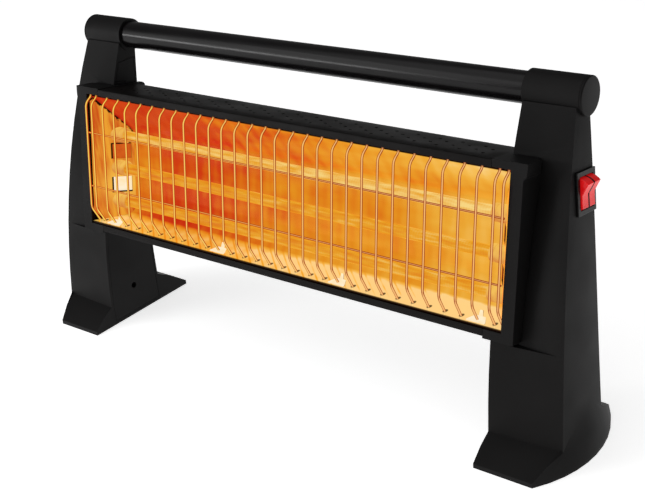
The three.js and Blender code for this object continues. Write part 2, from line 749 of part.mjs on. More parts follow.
function thermalCutout() {
  const seat = reflectorBack + clearance;
  const can = cylinderY(8, 150, seat, seat + 6, 60, 20);
  const tabs = [-5, 5].map((offset) => box(147, 153, seat + 5, seat + 13, 59.6 + offset, 60.4 + offset));
  return join(can, ...tabs);
}

const switchMatrix = switchFrame();

// ---- assembly ----
const heater = new THREE.Group();
const body = new THREE.Group();
body.rotation.x = -bodyTilt;
body.position.set(0, bodyFrontY, bodyBottomZ);
heater.add(body);

function place(parent, name, geometry, look) {
  const mesh = new THREE.Mesh(geometry, look);
  mesh.name = name;
  parent.add(mesh);
  return mesh;
}

const pair = (parent, name, geometry, look) => {
  place(parent, `right_${name}`, geometry, look);
  place(parent, `left_${name}`, mirrored(geometry), look);
};

place(heater, 'right_leg_shell', rightLegShell(), charcoalPlastic);
place(heater, 'left_leg_shell', mirrored(legShell()), charcoalPlastic);
pair(heater, 'leg_cover', legCover(), charcoalPlastic);
pair(heater, 'leg_screw', coverScrew(), screwSteel);
pair(heater, 'bar_cap', barCap(), charcoalPlastic);
place(heater, 'handle_bar', handleBar(), glossBlack);

pair(body, 'end_frame', endFrame(), charcoalPlastic);
place(body, 'sheet_case', sheetCase(), blackSheet);
place(body, 'reflector', reflector(), polishedSteel);
pair(body, 'reflector_end', reflectorEnd(), polishedSteel);
pair(body, 'cap_bracket', capBracket(), polishedSteel);
place(body, 'wire_guard', wireGuard(), chromeWire);
tubeHeights.forEach((height, i) => {
  place(body, `quartz_tube_${i + 1}`, quartzTube(height), glowingQuartz);
  place(body, `heating_coil_${i + 1}`, heatingCoil(height), coilMetal);
  place(body, `right_ceramic_cap_${i + 1}`, ceramicCap(height, 1), ceramic);
  place(body, `left_ceramic_cap_${i + 1}`, ceramicCap(height, -1), ceramic);
  place(body, `right_lead_tag_${i + 1}`, leadTag(height), brass);
});
place(body, 'left_lead_strip', mirrored(leadStrip()), brass);
place(body, 'thermal_cutout', thermalCutout(), screwSteel);
caseScrewPlaces.forEach((spot, i) => place(body, `case_screw_${i + 1}`, caseScrew(spot), screwSteel));

const switchGroup = new THREE.Group();
switchGroup.applyMatrix4(switchMatrix);
heater.add(switchGroup);
place(switchGroup, 'switch_housing', switchHousing(), blackPlastic);
place(switchGroup, 'front_rocker', rocker(-1), redPlastic);
place(switchGroup, 'rear_rocker', rocker(1), redPlastic);

place(heater, 'tilt_switch_case', tiltCase(), blackPlastic);
place(heater, 'tilt_switch_pin', tiltPin(), screwSteel);
place(heater, 'tilt_switch_pendulum', tiltPendulum(), brass);
place(heater, 'cord_bush', cordBush(), blackPlastic);
place(heater, 'terminal_block', terminalBlock(), ceramic);

export default heater;
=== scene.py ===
import json
import math

import bmesh
import bpy
from mathutils import Matrix, Vector


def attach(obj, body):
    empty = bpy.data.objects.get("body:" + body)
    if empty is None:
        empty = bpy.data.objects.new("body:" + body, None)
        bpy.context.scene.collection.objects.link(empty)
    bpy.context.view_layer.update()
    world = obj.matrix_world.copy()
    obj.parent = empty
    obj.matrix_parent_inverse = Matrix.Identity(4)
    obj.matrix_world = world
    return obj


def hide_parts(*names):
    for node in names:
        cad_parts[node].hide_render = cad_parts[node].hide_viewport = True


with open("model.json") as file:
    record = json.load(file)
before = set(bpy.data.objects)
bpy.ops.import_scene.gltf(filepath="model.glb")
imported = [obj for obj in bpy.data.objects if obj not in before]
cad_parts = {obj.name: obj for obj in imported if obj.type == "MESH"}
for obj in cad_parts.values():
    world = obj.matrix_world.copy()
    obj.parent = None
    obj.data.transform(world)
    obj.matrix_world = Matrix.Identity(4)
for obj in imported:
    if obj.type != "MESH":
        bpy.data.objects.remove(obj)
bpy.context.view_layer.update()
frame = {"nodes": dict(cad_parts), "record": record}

MM = 0.001

# ---- camera at the photograph's viewpoint, lens and framing ----
EYE = Vector((0.6571, -0.7224, 0.5690))
CAMERA_RIGHT = Vector((0.7815, 0.6163, -0.0967))
CAMERA_UP = Vector((-0.1959, 0.3895, 0.8999))
CAMERA_BACK = Vector((0.5923, -0.6844, 0.4252))
PHOTO_WIDTH_PX = 645
FOCAL_PX = 1231.96
SENSOR_MM = 36.0


def place_camera():
    """Stands the camera where the photograph was taken from."""
    lens = bpy.data.cameras.new("camera")
    lens.sensor_width = SENSOR_MM
    lens.sensor_fit = "HORIZONTAL"
    lens.lens = SENSOR_MM * FOCAL_PX / PHOTO_WIDTH_PX
    lens.clip_start = 0.05
    camera = bpy.data.objects.new("camera", lens)
    turn = Matrix((CAMERA_RIGHT, CAMERA_UP, CAMERA_BACK)).transposed()
    camera.matrix_world = Matrix.Translation(EYE) @ turn.to_4x4()
    bpy.context.collection.objects.link(camera)
    bpy.context.scene.camera = camera


# ---- the leaning body's own frame: X along it, Y its depth, Z its height ----
BODY_TILT = math.radians(10.2)
BODY_CORNER_MM = Vector((0, -35.5, 101.1))
BODY_PLACE = Matrix.Translation(BODY_CORNER_MM) @ Matrix.Rotation(-BODY_TILT, 4, "X")
LEVEL = Matrix.Identity(4)

# ---- places on the heater that shapes and finishes share ----
TROUGH_MIDDLE_MM = BODY_PLACE @ Vector((0, 18, 62))
PAN_FRONT_MM = 13.4                       # depth of the CAD pan's front edge
PAN_LIP_MM = 2.2                          # depth of the edge once it reaches the opening's lip
WIRE_PITCH = 15
FOOT_HOLE_MM = 9.2                        # depth at which each wire's foot goes down through the pan
SWITCH_MIDDLE_MM = Vector((267.15, 24.8, 208))
SWITCH_ACROSS = Vector((0.01411, 0.99027, -0.13846))
LIT_SLOT_MM = Vector((-212, 27, 43.8))    # the slot at the left end that most light comes through
SLOT_HALF_MM = (7.5, 7)                   # half of each slot's depth and height
SLOT_FOLD_MM = 59.8                       # the slots lie evenly above and below this height
SLOT_RIM_SHADE_MM = 0.7                        # how far the painted shade round the slots lies behind and beyond them

# ---- ranges that several finishes read ----
NOISE_SPAN = {"From Min": 0.3, "From Max": 0.7}                     # where nearly all of a noise lies
TROUGH_SPAN = {"From Min": -200 * MM, "From Max": 200 * MM}         # the trough from left to right
PAN_FOLD = {"From Min": 14.5 * MM, "From Max": 11.5 * MM}           # nought above the fold, one on the pan
WAVE_BAND = math.pi / 10                                            # a wave node's repeat at a scale of one


# ---- colour and shader helpers ----
def linear(code):
    """Turns an sRGB hex colour into the linear values that Blender's sockets take."""
    channels = [int(code[i:i + 2], 16) / 255 for i in (1, 3, 5)]
    bent = [c / 12.92 if c <= 0.04045 else ((c + 0.055) / 1.055) ** 2.4 for c in channels]
    return (*bent, 1.0)


def per_mm(size):
    """The pattern scale that makes one repeat about this many millimetres long."""
    return 1 / (size * MM)


def feed(tree, node, inputs):
    """Gives a node's inputs their values, or the outputs that drive them."""
    for name, value in inputs.items():
        if isinstance(value, bpy.types.NodeSocket):
            tree.links.new(value, node.inputs[name])
        else:
            node.inputs[name].default_value = value


def add(tree, kind, inputs=None, **settings):
    """Adds one node with its settings and what goes into it."""
    node = tree.nodes.new(kind)
    for name, value in settings.items():
        setattr(node, name, value)
    feed(tree, node, inputs or {})
    return node


def new_finish(name):
    """A material whose one surface shader is ready to feed, with the place on the piece in metres."""
    finish = bpy.data.materials.new(name)
    finish.use_nodes = True
    tree = finish.node_tree
    place = add(tree, "ShaderNodeTexCoord").outputs["Object"]
    return finish, tree, tree.nodes["Principled BSDF"], place


def in_leaning_body(tree, place):
    """The place on a piece, measured in the leaning body's own frame."""
    return add(tree, "ShaderNodeMapping", {
        "Vector": place, "Location": BODY_CORNER_MM * MM, "Rotation": (-BODY_TILT, 0, 0)},
        vector_type="TEXTURE").outputs["Vector"]


def toward_tubes(tree, place):
    """One on the faces that look in at the glowing tubes, nought on the trough's outer faces."""
    from_middle = add(tree, "ShaderNodeVectorMath", {
        0: place, 1: TROUGH_MIDDLE_MM * MM}, operation="SUBTRACT")
    outward = add(tree, "ShaderNodeVectorMath", {
        0: from_middle.outputs["Vector"], 1: add(tree, "ShaderNodeNewGeometry").outputs["Normal"]},
        operation="DOT_PRODUCT")
    return add(tree, "ShaderNodeMath", {
        0: outward.outputs["Value"], 1: 0.0}, operation="LESS_THAN").outputs["Value"]


def off_by(tree, value, middle):
    """How far a value is from a middle one, to either side."""
    off = add(tree, "ShaderNodeMath", {0: value, 1: middle}, operation="SUBTRACT")
    return add(tree, "ShaderNodeMath", {0: off.outputs["Value"]}, operation="ABSOLUTE").outputs["Value"]


def between_wires(tree, along):
    """Where a place along the trough falls in the guard's pitch: nought at a wire, a half midway."""
    pitches = add(tree, "ShaderNodeMath", {0: along, 1: WIRE_PITCH * MM}, operation="DIVIDE")
    share = add(tree, "ShaderNodeMath", {0: pitches.outputs["Value"]}, operation="FRACT")
    return add(tree, "ShaderNodeMath", {
        0: share.outputs["Value"], 1: 0.5}, operation="SUBTRACT").outputs["Value"]


def patchy(tree, pattern, colours, roughness):
    """A colour and a roughness that go from one value to another with the same noise."""
    colour = add(tree, "ShaderNodeMixRGB", {
        "Fac": pattern.outputs["Fac"], "Color1": linear(colours[0]), "Color2": linear(colours[1])})
    sheen = add(tree, "ShaderNodeMapRange", {
        "Value": pattern.outputs["Fac"], **NOISE_SPAN, "To Min": roughness[0], "To Max": roughness[1]})
    return colour.outputs["Color"], sheen.outputs["Result"]


def metal_with_painted_reflection(tree, lit_side):
    """Bright aluminium's colour with a painted reflection: brown-orange on faces toward the tubes, silver
    outside.
    """
    return add(tree, "ShaderNodeMixRGB", {
        "Fac": lit_side, "Color1": linear("#bdbab4"), "Color2": linear("#5e2f10")})


# ---- finishes ----
def moulded_charcoal_abs():
    # ABS, injection moulded in a spark-eroded tool: an even charcoal that breaks every highlight into a
    # soft matt sheen. The grain is about 0.5 mm across and is drawn at 0.8 mm, coarser, so that it shows.
    # Handling has rubbed it a little smoother and paler in patches some 60 mm across.
    finish, tree, surface, place = new_finish("moulded_charcoal_abs")
    grain = add(tree, "ShaderNodeTexNoise", {"Vector": place, "Scale": per_mm(0.8), "Detail": 2.0})
    rubbed = add(tree, "ShaderNodeTexNoise", {"Vector": place, "Scale": per_mm(60), "Detail": 2.0})
    colour, sheen = patchy(tree, rubbed, ("#0f0e0e", "#161515"), (0.62, 0.48))
    relief = add(tree, "ShaderNodeBump", {
        "Height": grain.outputs["Fac"], "Distance": 0.05 * MM, "Strength": 0.8})
    feed(tree, surface, {
        "Base Color": colour,
        "Roughness": sheen,
        "Specular IOR Level": 0.12,
        "Normal": relief.outputs["Normal"],
    })
    return finish


def powder_coated_sheet():
    # Mild steel sheet, folded, then powder coated satin black: darker than the mouldings, with the
    # coat's own orange peel, about 1.5 mm from crest to crest, softening its reflections. The coat lies
    # thicker and duller in patches 30 mm across.
    finish, tree, surface, place = new_finish("powder_coated_sheet")
    peel = add(tree, "ShaderNodeTexNoise", {"Vector": place, "Scale": per_mm(1.5), "Detail": 1.0})
    build = add(tree, "ShaderNodeTexNoise", {"Vector": place, "Scale": per_mm(30), "Detail": 2.0})
    colour, sheen = patchy(tree, build, ("#0a0808", "#100d0c"), (0.42, 0.54))
    relief = add(tree, "ShaderNodeBump", {
        "Height": peel.outputs["Fac"], "Distance": 0.03 * MM, "Strength": 0.6})
    feed(tree, surface, {
        "Base Color": colour,
        "Roughness": sheen,
        "Specular IOR Level": 0.1,
        "Normal": relief.outputs["Normal"],
    })
    return finish


def stoved_black_enamel():
    # Steel tube, sprayed and stoved satin black enamel: near black, with one soft streak of light along
    # it that wavers a little where the enamel ran, every 12 mm or so round and five times that along.
    finish, tree, surface, place = new_finish("stoved_black_enamel")
    drawn_out = add(tree, "ShaderNodeMapping", {"Vector": place, "Scale": (0.2, 1, 1)})
    runs = add(tree, "ShaderNodeTexNoise", {
        "Vector": drawn_out.outputs["Vector"], "Scale": per_mm(12), "Detail": 1.0})
    colour, sheen = patchy(tree, runs, ("#0b090a", "#100e0f"), (0.2, 0.28))
    relief = add(tree, "ShaderNodeBump", {
        "Height": runs.outputs["Fac"], "Distance": 0.04 * MM, "Strength": 0.3})
    feed(tree, surface, {
        "Base Color": colour,
        "Roughness": sheen,
        "Specular IOR Level": 0.2,
        "Normal": relief.outputs["Normal"],
    })
    return finish


def chrome_painted_glow():
    # Steel wire, drawn, welded and chrome plated, its colour painted light that it gives off: one painted
    # highlight along the front of each wire, gold at the left and peach from the middle on, between
    # red-orange flanks that are painted reflections of the trough, and painted shade darkening both tips.
    # The drawing lines, 0.1 mm in fact, are drawn at 0.4 mm so that they show.
    highlight_faces = Vector((0.5, -0.75, 0.43))
    finish, tree, surface, place = new_finish("chrome_painted_glow")
    spot = add(tree, "ShaderNodeSeparateXYZ", {"Vector": place})
    along = add(tree, "ShaderNodeMapRange", {
        "Value": spot.outputs["X"], "From Min": -200 * MM, "From Max": 100 * MM})
    # painted highlight colour: gold at the left, peach from the middle on
    tint = add(tree, "ShaderNodeMixRGB", {
        "Fac": along.outputs["Result"], "Color1": linear("#ffdc5c"), "Color2": linear("#fac078")})
    # painted reflection of the red trough on the wires' flanks
    flank = add(tree, "ShaderNodeMixRGB", {
        "Fac": along.outputs["Result"], "Color1": linear("#c03c10"), "Color2": linear("#962c10")})
    # painted highlight on the faces that look towards highlight_faces, lifted onto the feet
    frontward = add(tree, "ShaderNodeVectorMath", {
        0: add(tree, "ShaderNodeNewGeometry").outputs["Normal"], 1: highlight_faces},
        operation="DOT_PRODUCT")
    body_spot = add(tree, "ShaderNodeSeparateXYZ", {"Vector": in_leaning_body(tree, place)})
    foot_lift = add(tree, "ShaderNodeMapRange", {
        "Value": body_spot.outputs["Z"], "From Min": 24 * MM, "From Max": 20 * MM, "To Max": 0.25})
    lifted = add(tree, "ShaderNodeMath", {
        0: frontward.outputs["Value"], 1: foot_lift.outputs["Result"]}, operation="ADD")
    highlight = add(tree, "ShaderNodeMapRange", {
        "Value": lifted.outputs["Value"], "From Min": 0.79, "From Max": 0.88})
    lit_wire = add(tree, "ShaderNodeMixRGB", {
        "Fac": highlight.outputs["Result"], "Color1": flank.outputs["Color"],
        "Color2": tint.outputs["Color"]})
    # painted shade darkening both tips of each wire
    tips = add(tree, "ShaderNodeMapRange", {
        "Value": off_by(tree, body_spot.outputs["Z"], 70 * MM), "From Min": 60 * MM, "From Max": 63 * MM})
    glow = add(tree, "ShaderNodeMixRGB", {
        "Fac": tips.outputs["Result"], "Color1": lit_wire.outputs["Color"], "Color2": linear("#6e1e0a")})
    drawn_out = add(tree, "ShaderNodeMapping", {"Vector": place, "Scale": (1, 1, 0.05)})
    lines = add(tree, "ShaderNodeTexNoise", {
        "Vector": drawn_out.outputs["Vector"], "Scale": per_mm(0.4), "Detail": 2.0})
    sheen = add(tree, "ShaderNodeMapRange", {
        "Value": lines.outputs["Fac"], **NOISE_SPAN, "To Min": 0.14, "To Max": 0.28})
    feed(tree, surface, {
        "Base Color": linear("#38180a"),
        "Metallic": 1.0,
        "Roughness": sheen.outputs["Result"],
        "Emission Color": glow.outputs["Color"],
        "Emission Strength": 0.92,
    })
    return finish


def bright_rolled_aluminium():
    # Aluminium sheet, bright rolled and folded. Its glow is the tubes' light painted in, as seen by a camera
    # set for the glowing tubes: red at the dim left end, amber to the right, palest on the pan under the
    # lowest tube, clouded every 24 mm and with painted shade under the roof. Rolling lines run along it (0.3
    # mm in fact, drawn at 1.2 mm so that they show) and folding left it wavy every 11 mm; the waves also
    # shade the painted glow. Faint upright bars 15 mm apart are painted reflections of the wires. Each
    # wire's foot goes down through a hole in the pan, painted dark as shade, with its painted reflection
    # slanting beside it.
    finish, tree, surface, place = new_finish("bright_rolled_aluminium")
    body = in_leaning_body(tree, place)
    spot = add(tree, "ShaderNodeSeparateXYZ", {"Vector": body})
    along = add(tree, "ShaderNodeMapRange", {
        "Value": spot.outputs["X"], **TROUGH_SPAN, "To Min": -0.11, "To Max": 0.82})
    pan = add(tree, "ShaderNodeMapRange", {"Value": spot.outputs["Z"], **PAN_FOLD, "To Max": 0.74})
    roof = add(tree, "ShaderNodeMapRange", {
        "Value": spot.outputs["Z"], "From Min": 128 * MM, "From Max": 100 * MM, "To Min": 0.02,
        "To Max": -0.12})
    roof_only = add(tree, "ShaderNodeMapRange", {
        "Value": spot.outputs["Z"], "From Min": 96 * MM, "From Max": 100 * MM})
    fold_shade = add(tree, "ShaderNodeMath", {
        0: roof.outputs["Result"], 1: roof_only.outputs["Result"]}, operation="MULTIPLY")
    folded_across = add(tree, "ShaderNodeMapping", {"Vector": place, "Scale": (1, 0.25, 0.25)})
    waves = add(tree, "ShaderNodeTexNoise", {
        "Vector": folded_across.outputs["Vector"], "Scale": per_mm(11), "Detail": 2.0})
    from_slot = add(tree, "ShaderNodeVectorMath", {0: body, 1: LIT_SLOT_MM * MM}, operation="DISTANCE")
    slot_light = add(tree, "ShaderNodeMapRange", {
        "Value": from_slot.outputs["Value"], "From Min": 75 * MM, "From Max": 15 * MM, "To Max": 0.5},
        interpolation_type="SMOOTHSTEP")
    long_marks = add(tree, "ShaderNodeMapping", {"Vector": body, "Scale": (0.3, 1, 1)})
    clouds = add(tree, "ShaderNodeTexNoise", {
        "Vector": long_marks.outputs["Vector"], "Scale": per_mm(24), "Detail": 2.0})
    cloud_share = add(tree, "ShaderNodeMapRange", {
        "Value": clouds.outputs["Fac"], **NOISE_SPAN, "To Min": -0.2, "To Max": 0.12})
    mirrored_wires = add(tree, "ShaderNodeTexWave", {
        "Vector": body, "Scale": per_mm(WIRE_PITCH) * WAVE_BAND, "Distortion": 1.6, "Detail": 2.0,
        "Detail Scale": 3.0}, bands_direction="X")
    light = along.outputs["Result"]
    for share in (pan.outputs["Result"], fold_shade.outputs["Value"], slot_light.outputs["Result"],
                  cloud_share.outputs["Result"]):
        light = add(tree, "ShaderNodeMath", {0: light, 1: share}, operation="ADD").outputs["Value"]
    for pattern, share in ((waves, 0.26), (mirrored_wires, 0.09)):
        light = add(tree, "ShaderNodeMath", {
            0: pattern.outputs["Fac"], 1: share, 2: light}, operation="MULTIPLY_ADD").outputs["Value"]
    level = add(tree, "ShaderNodeMath", {0: light, 1: 0.8}, operation="MULTIPLY")

    # painted reflections of the wires' feet in the pan
    slanting = add(tree, "ShaderNodeMath", {
        0: spot.outputs["Y"], 1: 1.1, 2: spot.outputs["X"]}, operation="MULTIPLY_ADD")
    from_feet = add(tree, "ShaderNodeMath", {
        0: slanting.outputs["Value"], 1: 15.3 * MM}, operation="SUBTRACT")
    off_mirrored = add(tree, "ShaderNodeMath", {
        0: between_wires(tree, from_feet.outputs["Value"])}, operation="ABSOLUTE")
    mirrored_foot = add(tree, "ShaderNodeMapRange", {
        "Value": off_mirrored.outputs["Value"], "From Min": 0.1, "From Max": 0.05, "To Max": 0.36})
    pan_lines = add(tree, "ShaderNodeMath", {
        0: mirrored_foot.outputs["Result"], 1: pan.outputs["Result"]}, operation="MULTIPLY")
    lined = add(tree, "ShaderNodeMath", {
        0: level.outputs["Value"], 1: pan_lines.outputs["Value"]}, operation="SUBTRACT")
    glow = add(tree, "ShaderNodeValToRGB", {"Fac": lined.outputs["Value"]})
    ends = glow.color_ramp.elements
    ends[0].position, ends[0].color = 0.0, linear("#c42210")
    ends[1].position, ends[1].color = 1.0, linear("#fee296")
    for share, colour in ((0.18, "#d03c14"), (0.34, "#de7418"), (0.5, "#e89822"), (0.68, "#f0b23a"),
                          (0.84, "#f8c75c")):
        ends.new(share).color = linear(colour)

    # painted shadow on the front lip, and painted shade in the holes the feet go down through
    lit_side = toward_tubes(tree, place)
    side = metal_with_painted_reflection(tree, lit_side)
    pan_only = add(tree, "ShaderNodeMapRange", {"Value": spot.outputs["Z"], **PAN_FOLD})
    from_front = add(tree, "ShaderNodeMath", {
        0: pan_only.outputs["Result"], 1: PAN_LIP_MM * MM, 2: spot.outputs["Y"]}, operation="MULTIPLY_ADD")
    # painted shadow along the front lip, darkest within about 5 mm of it
    lip = add(tree, "ShaderNodeMapRange", {
        "Value": from_front.outputs["Value"], "From Min": 5.2 * MM, "From Max": 4.6 * MM})
    beside_wire = add(tree, "ShaderNodeMath", {
        0: between_wires(tree, spot.outputs["X"]), 1: WIRE_PITCH * MM}, operation="MULTIPLY")
    behind_foot = add(tree, "ShaderNodeMath", {
        0: spot.outputs["Y"], 1: FOOT_HOLE_MM * MM}, operation="SUBTRACT")
    drawn_in = add(tree, "ShaderNodeMath", {0: behind_foot.outputs["Value"], 1: 0.6}, operation="MULTIPLY")
    foot_spot = add(tree, "ShaderNodeCombineXYZ", {
        "X": beside_wire.outputs["Value"], "Y": drawn_in.outputs["Value"]})
    from_foot = add(tree, "ShaderNodeVectorMath", {0: foot_spot.outputs["Vector"]}, operation="LENGTH")
    # painted shade: a dark disc for each hole a foot goes down through
    foot_hole = add(tree, "ShaderNodeMapRange", {
        "Value": from_foot.outputs["Value"], "From Min": 2.1 * MM, "From Max": 1.5 * MM})
    holed = add(tree, "ShaderNodeMath", {
        0: foot_hole.outputs["Result"], 1: pan_only.outputs["Result"]}, operation="MULTIPLY")
    painted_shade_share = add(tree, "ShaderNodeMath", {
        0: lip.outputs["Result"], 1: holed.outputs["Value"]}, operation="MAXIMUM")
    # the pan's metal tinted as a painted reflection of the lowest tube
    mirror = add(tree, "ShaderNodeMixRGB", {
        "Fac": pan_only.outputs["Result"], "Color1": side.outputs["Color"], "Color2": linear("#94682a")})
    metal = add(tree, "ShaderNodeMixRGB", {
        "Fac": painted_shade_share.outputs["Value"], "Color1": mirror.outputs["Color"], "Color2": linear("#1c0c06")})
    # the painted glow is a little weaker on the pan, and nearly gone in the painted shade
    painted_glow_level = add(tree, "ShaderNodeMapRange", {
        "Value": pan_only.outputs["Result"], "To Min": 0.85, "To Max": 0.74})
    unholed = add(tree, "ShaderNodeMapRange", {
        "Value": painted_shade_share.outputs["Value"], "To Min": 1.0, "To Max": 0.12})
    glow_share = add(tree, "ShaderNodeMath", {
        0: painted_glow_level.outputs["Result"], 1: unholed.outputs["Result"]}, operation="MULTIPLY")
    strength = add(tree, "ShaderNodeMath", {
        0: lit_side, 1: glow_share.outputs["Value"]}, operation="MULTIPLY")

    # rolling lines and waves
    rolled_out = add(tree, "ShaderNodeMapping", {"Vector": place, "Scale": (0.04, 1, 1)})
    rolling = add(tree, "ShaderNodeTexNoise", {
        "Vector": rolled_out.outputs["Vector"], "Scale": per_mm(1.2), "Detail": 2.0})
    sheen = add(tree, "ShaderNodeMapRange", {
        "Value": rolling.outputs["Fac"], **NOISE_SPAN, "To Min": 0.12, "To Max": 0.26})
    fine = add(tree, "ShaderNodeBump", {
        "Height": rolling.outputs["Fac"], "Distance": 0.02 * MM, "Strength": 0.4})
    relief = add(tree, "ShaderNodeBump", {
        "Height": waves.outputs["Fac"], "Distance": 0.25 * MM, "Strength": 0.5,
        "Normal": fine.outputs["Normal"]})
    feed(tree, surface, {
        "Base Color": metal.outputs["Color"],
        "Metallic": 1.0,
        "Roughness": sheen.outputs["Result"],
        "Emission Color": glow.outputs["Color"],
        "Emission Strength": strength.outputs["Value"],
        "Normal": relief.outputs["Normal"],
    })
    return finish


def bright_end_plate():
    # The same bright aluminium, blanked and set upright at the trough's ends, its glow painted light:
    # orange, in tall soft streaks about 6 mm wide, a painted reflection of the tubes' ends, yellow round the
    # lit slot, with a painted shadow, ragged every 5 mm, where it meets the roof and painted shade on the
    # rims of the punched slots, for the dark gap behind them.
    square_to_roof = Vector((0, 0.729, 0.685))
    finish, tree, surface, place = new_finish("bright_end_plate")
    body = in_leaning_body(tree, place)
    from_slot = add(tree, "ShaderNodeVectorMath", {0: body, 1: LIT_SLOT_MM * MM}, operation="DISTANCE")
    slot_light = add(tree, "ShaderNodeMapRange", {
        "Value": from_slot.outputs["Value"], "From Min": 30 * MM, "From Max": 8 * MM, "To Max": 0.9},
        interpolation_type="SMOOTHSTEP")
    # painted shadow along the seam where the plate meets the roof, its edge broken up by noise
    toward_roof = add(tree, "ShaderNodeVectorMath", {0: body, 1: square_to_roof}, operation="DOT_PRODUCT")
    seam_shadow_breakup = add(tree, "ShaderNodeTexNoise", {"Vector": place, "Scale": per_mm(5), "Detail": 2.0})
    seam_shadow_reach = add(tree, "ShaderNodeMath", {
        0: seam_shadow_breakup.outputs["Fac"], 1: 6 * MM, 2: toward_roof.outputs["Value"]}, operation="MULTIPLY_ADD")
    painted_seam_shadow = add(tree, "ShaderNodeMapRange", {
        "Value": seam_shadow_reach.outputs["Value"], "From Min": 93.4 * MM, "From Max": 94.4 * MM})
    spot = add(tree, "ShaderNodeSeparateXYZ", {"Vector": body})
    # painted shade on the slots' rims, standing in for the dark gap behind them
    behind = off_by(tree, spot.outputs["Y"], (LIT_SLOT_MM.y - SLOT_RIM_SHADE_MM) * MM)
    beyond_ends = add(tree, "ShaderNodeMath", {0: behind, 1: SLOT_HALF_MM[0] * MM}, operation="SUBTRACT")
    folded = off_by(tree, spot.outputs["Z"], SLOT_FOLD_MM * MM)
    above = off_by(tree, folded, (SLOT_FOLD_MM - LIT_SLOT_MM.z + SLOT_RIM_SHADE_MM) * MM)
    beyond_sides = add(tree, "ShaderNodeMath", {0: above, 1: SLOT_HALF_MM[1] * MM}, operation="SUBTRACT")
    off_slot = add(tree, "ShaderNodeMath", {
        0: beyond_ends.outputs["Value"], 1: beyond_sides.outputs["Value"]}, operation="MAXIMUM")
    painted_slot_rim_shade = add(tree, "ShaderNodeMapRange", {
        "Value": off_slot.outputs["Value"], "From Min": 0.9 * MM, "From Max": 0.4 * MM})
    painted_shade_share = add(tree, "ShaderNodeMath", {
        0: painted_seam_shadow.outputs["Result"], 1: painted_slot_rim_shade.outputs["Result"]}, operation="MAXIMUM")
    upright = add(tree, "ShaderNodeMapping", {"Vector": place, "Scale": (1, 1, 0.15)})
    streaks = add(tree, "ShaderNodeTexNoise", {
        "Vector": upright.outputs["Vector"], "Scale": per_mm(6), "Detail": 2.0})
    share = add(tree, "ShaderNodeMapRange", {
        "Value": streaks.outputs["Fac"], "From Min": 0.35, "From Max": 0.65})
    # painted reflection of the tubes' ends, in tall soft streaks
    glow = add(tree, "ShaderNodeMixRGB", {
        "Fac": share.outputs["Result"], "Color1": linear("#cc4e14"), "Color2": linear("#f2a834")})
    beside = add(tree, "ShaderNodeMixRGB", {
        "Fac": slot_light.outputs["Result"], "Color1": glow.outputs["Color"], "Color2": linear("#fcc64c")})
    painted_shadowed_glow = add(tree, "ShaderNodeMixRGB", {
        "Fac": painted_shade_share.outputs["Value"], "Color1": beside.outputs["Color"], "Color2": linear("#1c0603")})
    lit_side = toward_tubes(tree, place)
    side = metal_with_painted_reflection(tree, lit_side)
    metal = add(tree, "ShaderNodeMixRGB", {
        "Fac": painted_shade_share.outputs["Value"], "Color1": side.outputs["Color"], "Color2": linear("#140806")})
    strength = add(tree, "ShaderNodeMath", {0: lit_side, 1: 0.85}, operation="MULTIPLY")
    sheen = add(tree, "ShaderNodeMapRange", {
        "Value": streaks.outputs["Fac"], **NOISE_SPAN, "To Min": 0.14, "To Max": 0.28})
    relief = add(tree, "ShaderNodeBump", {
        "Height": streaks.outputs["Fac"], "Distance": 0.1 * MM, "Strength": 0.4})
    feed(tree, surface, {
        "Base Color": metal.outputs["Color"],
        "Metallic": 1.0,
        "Roughness": sheen.outputs["Result"],
        "Emission Color": painted_shadowed_glow.outputs["Color"],
        "Emission Strength": strength.outputs["Value"],
        "Normal": relief.outputs["Normal"],
    })
    return finish


def lit_frosted_quartz():
    # Fused quartz tube, drawn and sand frosted, with the coil alight inside: a soft amber bar, palest to
    # the right and on the top tube, with streaks 3 mm across along it and the coil's turns, 2.4 mm apart,
    # just showing.
    finish, tree, surface, place = new_finish("lit_frosted_quartz")
    spot = add(tree, "ShaderNodeSeparateXYZ", {"Vector": place})
    along = add(tree, "ShaderNodeMapRange", {
        "Value": spot.outputs["X"], **TROUGH_SPAN, "To Max": 0.2})
    upper = add(tree, "ShaderNodeMapRange", {
        "Value": spot.outputs["Z"], "From Min": 175 * MM, "From Max": 185 * MM, "To Max": 0.3})
    drawn_out = add(tree, "ShaderNodeMapping", {"Vector": place, "Scale": (0.14, 1, 1)})
    streaks = add(tree, "ShaderNodeTexNoise", {
        "Vector": drawn_out.outputs["Vector"], "Scale": per_mm(3), "Detail": 2.0})
    streak_share = add(tree, "ShaderNodeMapRange", {
        "Value": streaks.outputs["Fac"], **NOISE_SPAN, "To Min": -0.06, "To Max": 0.4})
    turns = add(tree, "ShaderNodeTexWave", {
        "Vector": place, "Scale": per_mm(2.4) * WAVE_BAND, "Distortion": 0.4, "Detail": 1.0},
        bands_direction="X")
    brightest = add(tree, "ShaderNodeMath", {
        0: along.outputs["Result"], 1: upper.outputs["Result"]}, operation="ADD")
    frosted = add(tree, "ShaderNodeMath", {
        0: brightest.outputs["Value"], 1: streak_share.outputs["Result"]}, operation="ADD")
    level = add(tree, "ShaderNodeMath", {
        0: turns.outputs["Fac"], 1: 0.06, 2: frosted.outputs["Value"]}, operation="MULTIPLY_ADD")
    glow = add(tree, "ShaderNodeValToRGB", {"Fac": level.outputs["Value"]})
    ends = glow.color_ramp.elements
    ends[0].position, ends[0].color = 0.0, linear("#e27c16")
    ends[1].position, ends[1].color = 0.9, linear("#fcda84")
    ends.new(0.4).color = linear("#eda528")
    feed(tree, surface, {
        "Base Color": linear("#1c0c03"),
        "Roughness": 0.3,
        "Specular IOR Level": 0.04,
        "Emission Color": glow.outputs["Color"],
        "Emission Strength": 0.95,
    })
    return finish


